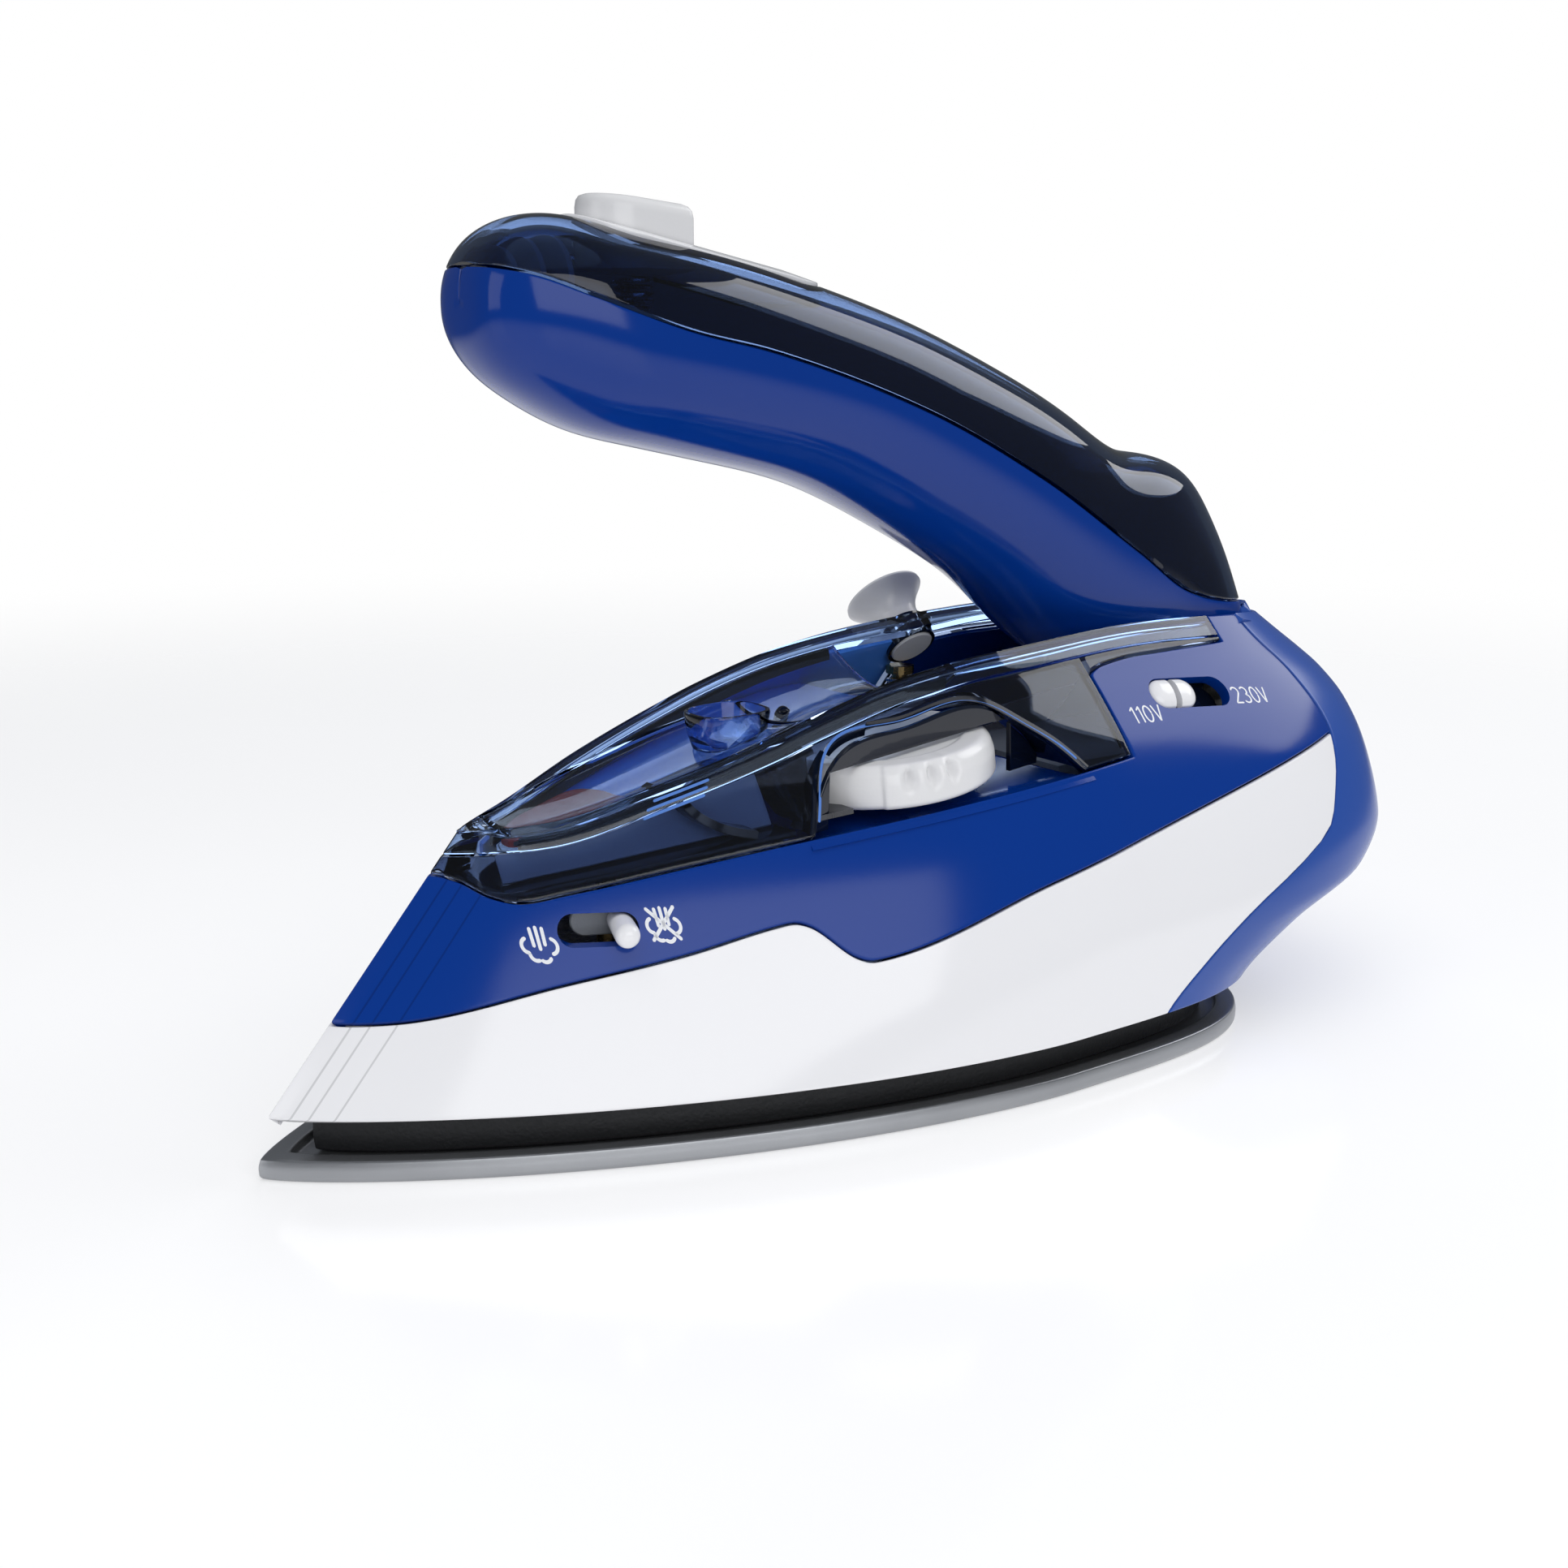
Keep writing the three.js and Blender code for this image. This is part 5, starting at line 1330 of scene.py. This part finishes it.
def arc_path(cx, cy, radius, start, end, count=24):
    """Points along an arc between two angles in degrees."""
    a = np.radians(np.linspace(start, end, count))
    return np.stack([cx + radius * np.cos(a), cy + radius * np.sin(a)], -1)


cloud = [arc_path(-1.55, -0.25, 0.95, 95, 275), arc_path(-0.75, -1.35, 0.9, 170, 300),
         arc_path(0.45, -1.6, 0.85, 215, 345), arc_path(1.55, -0.45, 1.0, 265, 85 + 360)]
steam_bars = [[[-0.75, -0.55], [-0.85, 2.1]], [[0.05, -1.0], [0.05, 2.25]], [[0.85, -0.45], [0.95, 2.1]]]
crossing = [[[-2.2, -2.3], [2.3, 2.2]], [[-2.2, 2.1], [2.3, -2.3]]]
print_marks("steam_mark", cloud + steam_bars, 0.5, side_mark(-45.6, 30.4, 0.82, 0.98))
print_marks("no_steam_mark", cloud + steam_bars + crossing, 0.5, side_mark(-30.0, 32.3, 0.82, 0.98))


def rim_mark(u, v, lift):
    """Carries a flat mark onto the near side just under the ridge: u is x and v is the drop below the ridge."""
    z = ridge_at(u) - v
    return np.stack([u, -half_width(u, z) - lift, z], -1)


def skin_mark(u, v, lift):
    """Carries a flat mark onto the -Y side: u is x and v is the height."""
    return np.stack([u, -half_width(u, v) - lift, v], -1)


# painted highlights: a thin light line along the recess's arch, and three strips under the near ridge
piece("arch_highlight", stroke(arch_line[4:-4] + np.array([0.25, 0.45]), 0.34, skin_mark),
      "base", highlight_blue, sharp=60)
for number, (start, end, drop) in enumerate(((-28.6, -19.6, 3.3), (-27.8, -18.9, 2.5), (-26.6, -18.4, 1.7))):
    piece(f"rim_highlight_{number + 1}", stroke([[start, drop], [end, drop]], 0.36, rim_mark),
          "base", highlight_blue, sharp=60)
glyphs = {
    "1": [[[0.1, 2.3], [0.75, 2.9], [0.75, 0]]],
    "0": [np.stack([0.8 + 0.72 * np.cos(np.linspace(0, 2 * math.pi, 40)),
                    1.45 + 1.42 * np.sin(np.linspace(0, 2 * math.pi, 40))], -1)],
    "2": [np.concatenate([arc_path(0.75, 2.15, 0.72, 165, -35, 20), [[0.05, 0.0]], [[1.55, 0.0]]])],
    "3": [np.concatenate([arc_path(0.7, 2.2, 0.68, 150, -80, 16), arc_path(0.7, 0.78, 0.78, 85, -150, 18)])],
    "V": [[[0.0, 2.9], [0.78, 0.0], [1.56, 2.9]]],
}


def lettering(text):
    """The paths of a text's letters, set one after another."""
    paths, x = [], 0.0
    for letter in text:
        paths += [np.array(path, float) + np.array([x, 0]) for path in glyphs[letter]]
        x += 1.35 if letter == "1" else 2.05
    return paths


print_marks("low_voltage_mark", lettering("110V"), 0.28, side_mark(53.6, 52.0, 1.05, 0.78, -0.02))
print_marks("high_voltage_mark", lettering("230V"), 0.28, side_mark(78.4, 52.5, 1.05, 0.78, -0.10))

# ---------- studio ----------

CAMERA_PLACE = (-0.1645, -0.2349, 0.1129)
CAMERA_TARGET = (0.0059, 0, 0.0432)


def make_far_fade():
    """How solid the floor is: 1 near the middle, falling smoothly to 0 between two distances."""
    tree, given, result = group_of("far_fade", [
        ("Near", "NodeSocketFloat", 0.26), ("Far", "NodeSocketFloat", 0.66)],
        [("Alpha", "NodeSocketFloat")])
    length = tree.nodes.new("ShaderNodeVectorMath")
    length.operation = "LENGTH"
    tree.links.new(object_place(tree), length.inputs[0])
    fade = tree.nodes.new("ShaderNodeMapRange")
    fade.interpolation_type = "SMOOTHSTEP"
    tree.links.new(length.outputs["Value"], fade.inputs["Value"])
    tree.links.new(given.outputs["Near"], fade.inputs["From Min"])
    tree.links.new(given.outputs["Far"], fade.inputs["From Max"])
    fade.inputs["To Min"].default_value = 1.0
    fade.inputs["To Max"].default_value = 0.0
    tree.links.new(fade.outputs[0], result.inputs["Alpha"])
    return tree


def floor_sheet(size=3.0):
    """A flat pale floor that fades out far from the middle."""
    mesh = bpy.data.meshes.new("floor")
    corners = [(-size, -size, 0), (size, -size, 0), (size, size, 0), (-size, size, 0)]
    mesh.from_pydata(corners, [], [(0, 1, 2, 3)])
    thing = new_thing("floor", mesh)
    finish = plastic("floor_white", (0.62, 0.62, 0.63), (0.60, 0.60, 0.61), 0.14, bump=0.0, drift=0.3,
                     drift_scale=3.0, speckle=0.01, smear=0.02, shine=0.5)
    shader = finish.node_tree.nodes["Principled BSDF"]
    shader.inputs["Emission Color"].default_value = (1, 1, 1, 1)
    shader.inputs["Emission Strength"].default_value = 0.45
    fade = group_node(finish.node_tree, make_far_fade())
    finish.node_tree.links.new(fade.outputs["Alpha"], shader.inputs["Alpha"])
    mesh.materials.append(finish)


floor_sheet()


def soft_light(name, place, target, size, power, size_y=None):
    """A rectangular soft light turned to face a target."""
    data = bpy.data.lights.new(name, "AREA")
    data.shape = "RECTANGLE"
    data.size = size
    data.size_y = size_y or size
    data.energy = power
    thing = new_thing(name, data)
    thing.location = place
    thing.rotation_euler = (Vector(target) - Vector(place)).to_track_quat("-Z", "Y").to_euler()
    return thing


soft_light("side_light", (-0.25, -1.1, 0.45), (0.03, 0, 0.05), 1.1, 5.2, 0.7)
soft_light("right_light", (0.78, -0.16, 0.62), (0.03, 0, 0.08), 0.5, 2.4, 0.5)
soft_light("nose_light", (-1.0, 0.05, 0.35), (0, 0, 0.05), 0.5, 1.3, 0.6)
rear_light = soft_light("rear_light", (0.6, 0.8, 0.6), (0, 0, 0.06), 0.8, 3.4, 0.6)
rear_light.visible_glossy = False
sky_data = bpy.data.lights.new("sky_light", "SUN")
sky_data.energy = 1.45
sky_data.angle = math.radians(70)
sky = new_thing("sky_light", sky_data)
sky.rotation_euler = (math.radians(8), math.radians(-6), 0)
sky.visible_glossy = False

world = bpy.data.worlds.new("studio")
bpy.context.scene.world = world
world.use_nodes = True
tree = world.node_tree
background = tree.nodes["Background"]
light_path = tree.nodes.new("ShaderNodeLightPath")
seen = mix_colours(tree, light_path.outputs["Is Camera Ray"], (0.13, 0.14, 0.155), (1.0, 1.0, 1.0))
tree.links.new(seen, background.inputs["Color"])
background.inputs["Strength"].default_value = 1.0

camera_data = bpy.data.cameras.new("camera")
camera_data.lens = 43.45
camera_data.sensor_width = 36
camera = new_thing("camera", camera_data)
camera.location = CAMERA_PLACE
look = Vector(CAMERA_TARGET) - Vector(camera.location)
camera.rotation_euler = look.to_track_quat("-Z", "Y").to_euler()
bpy.context.scene.camera = camera
bpy.context.scene.view_settings.view_transform = "Standard"
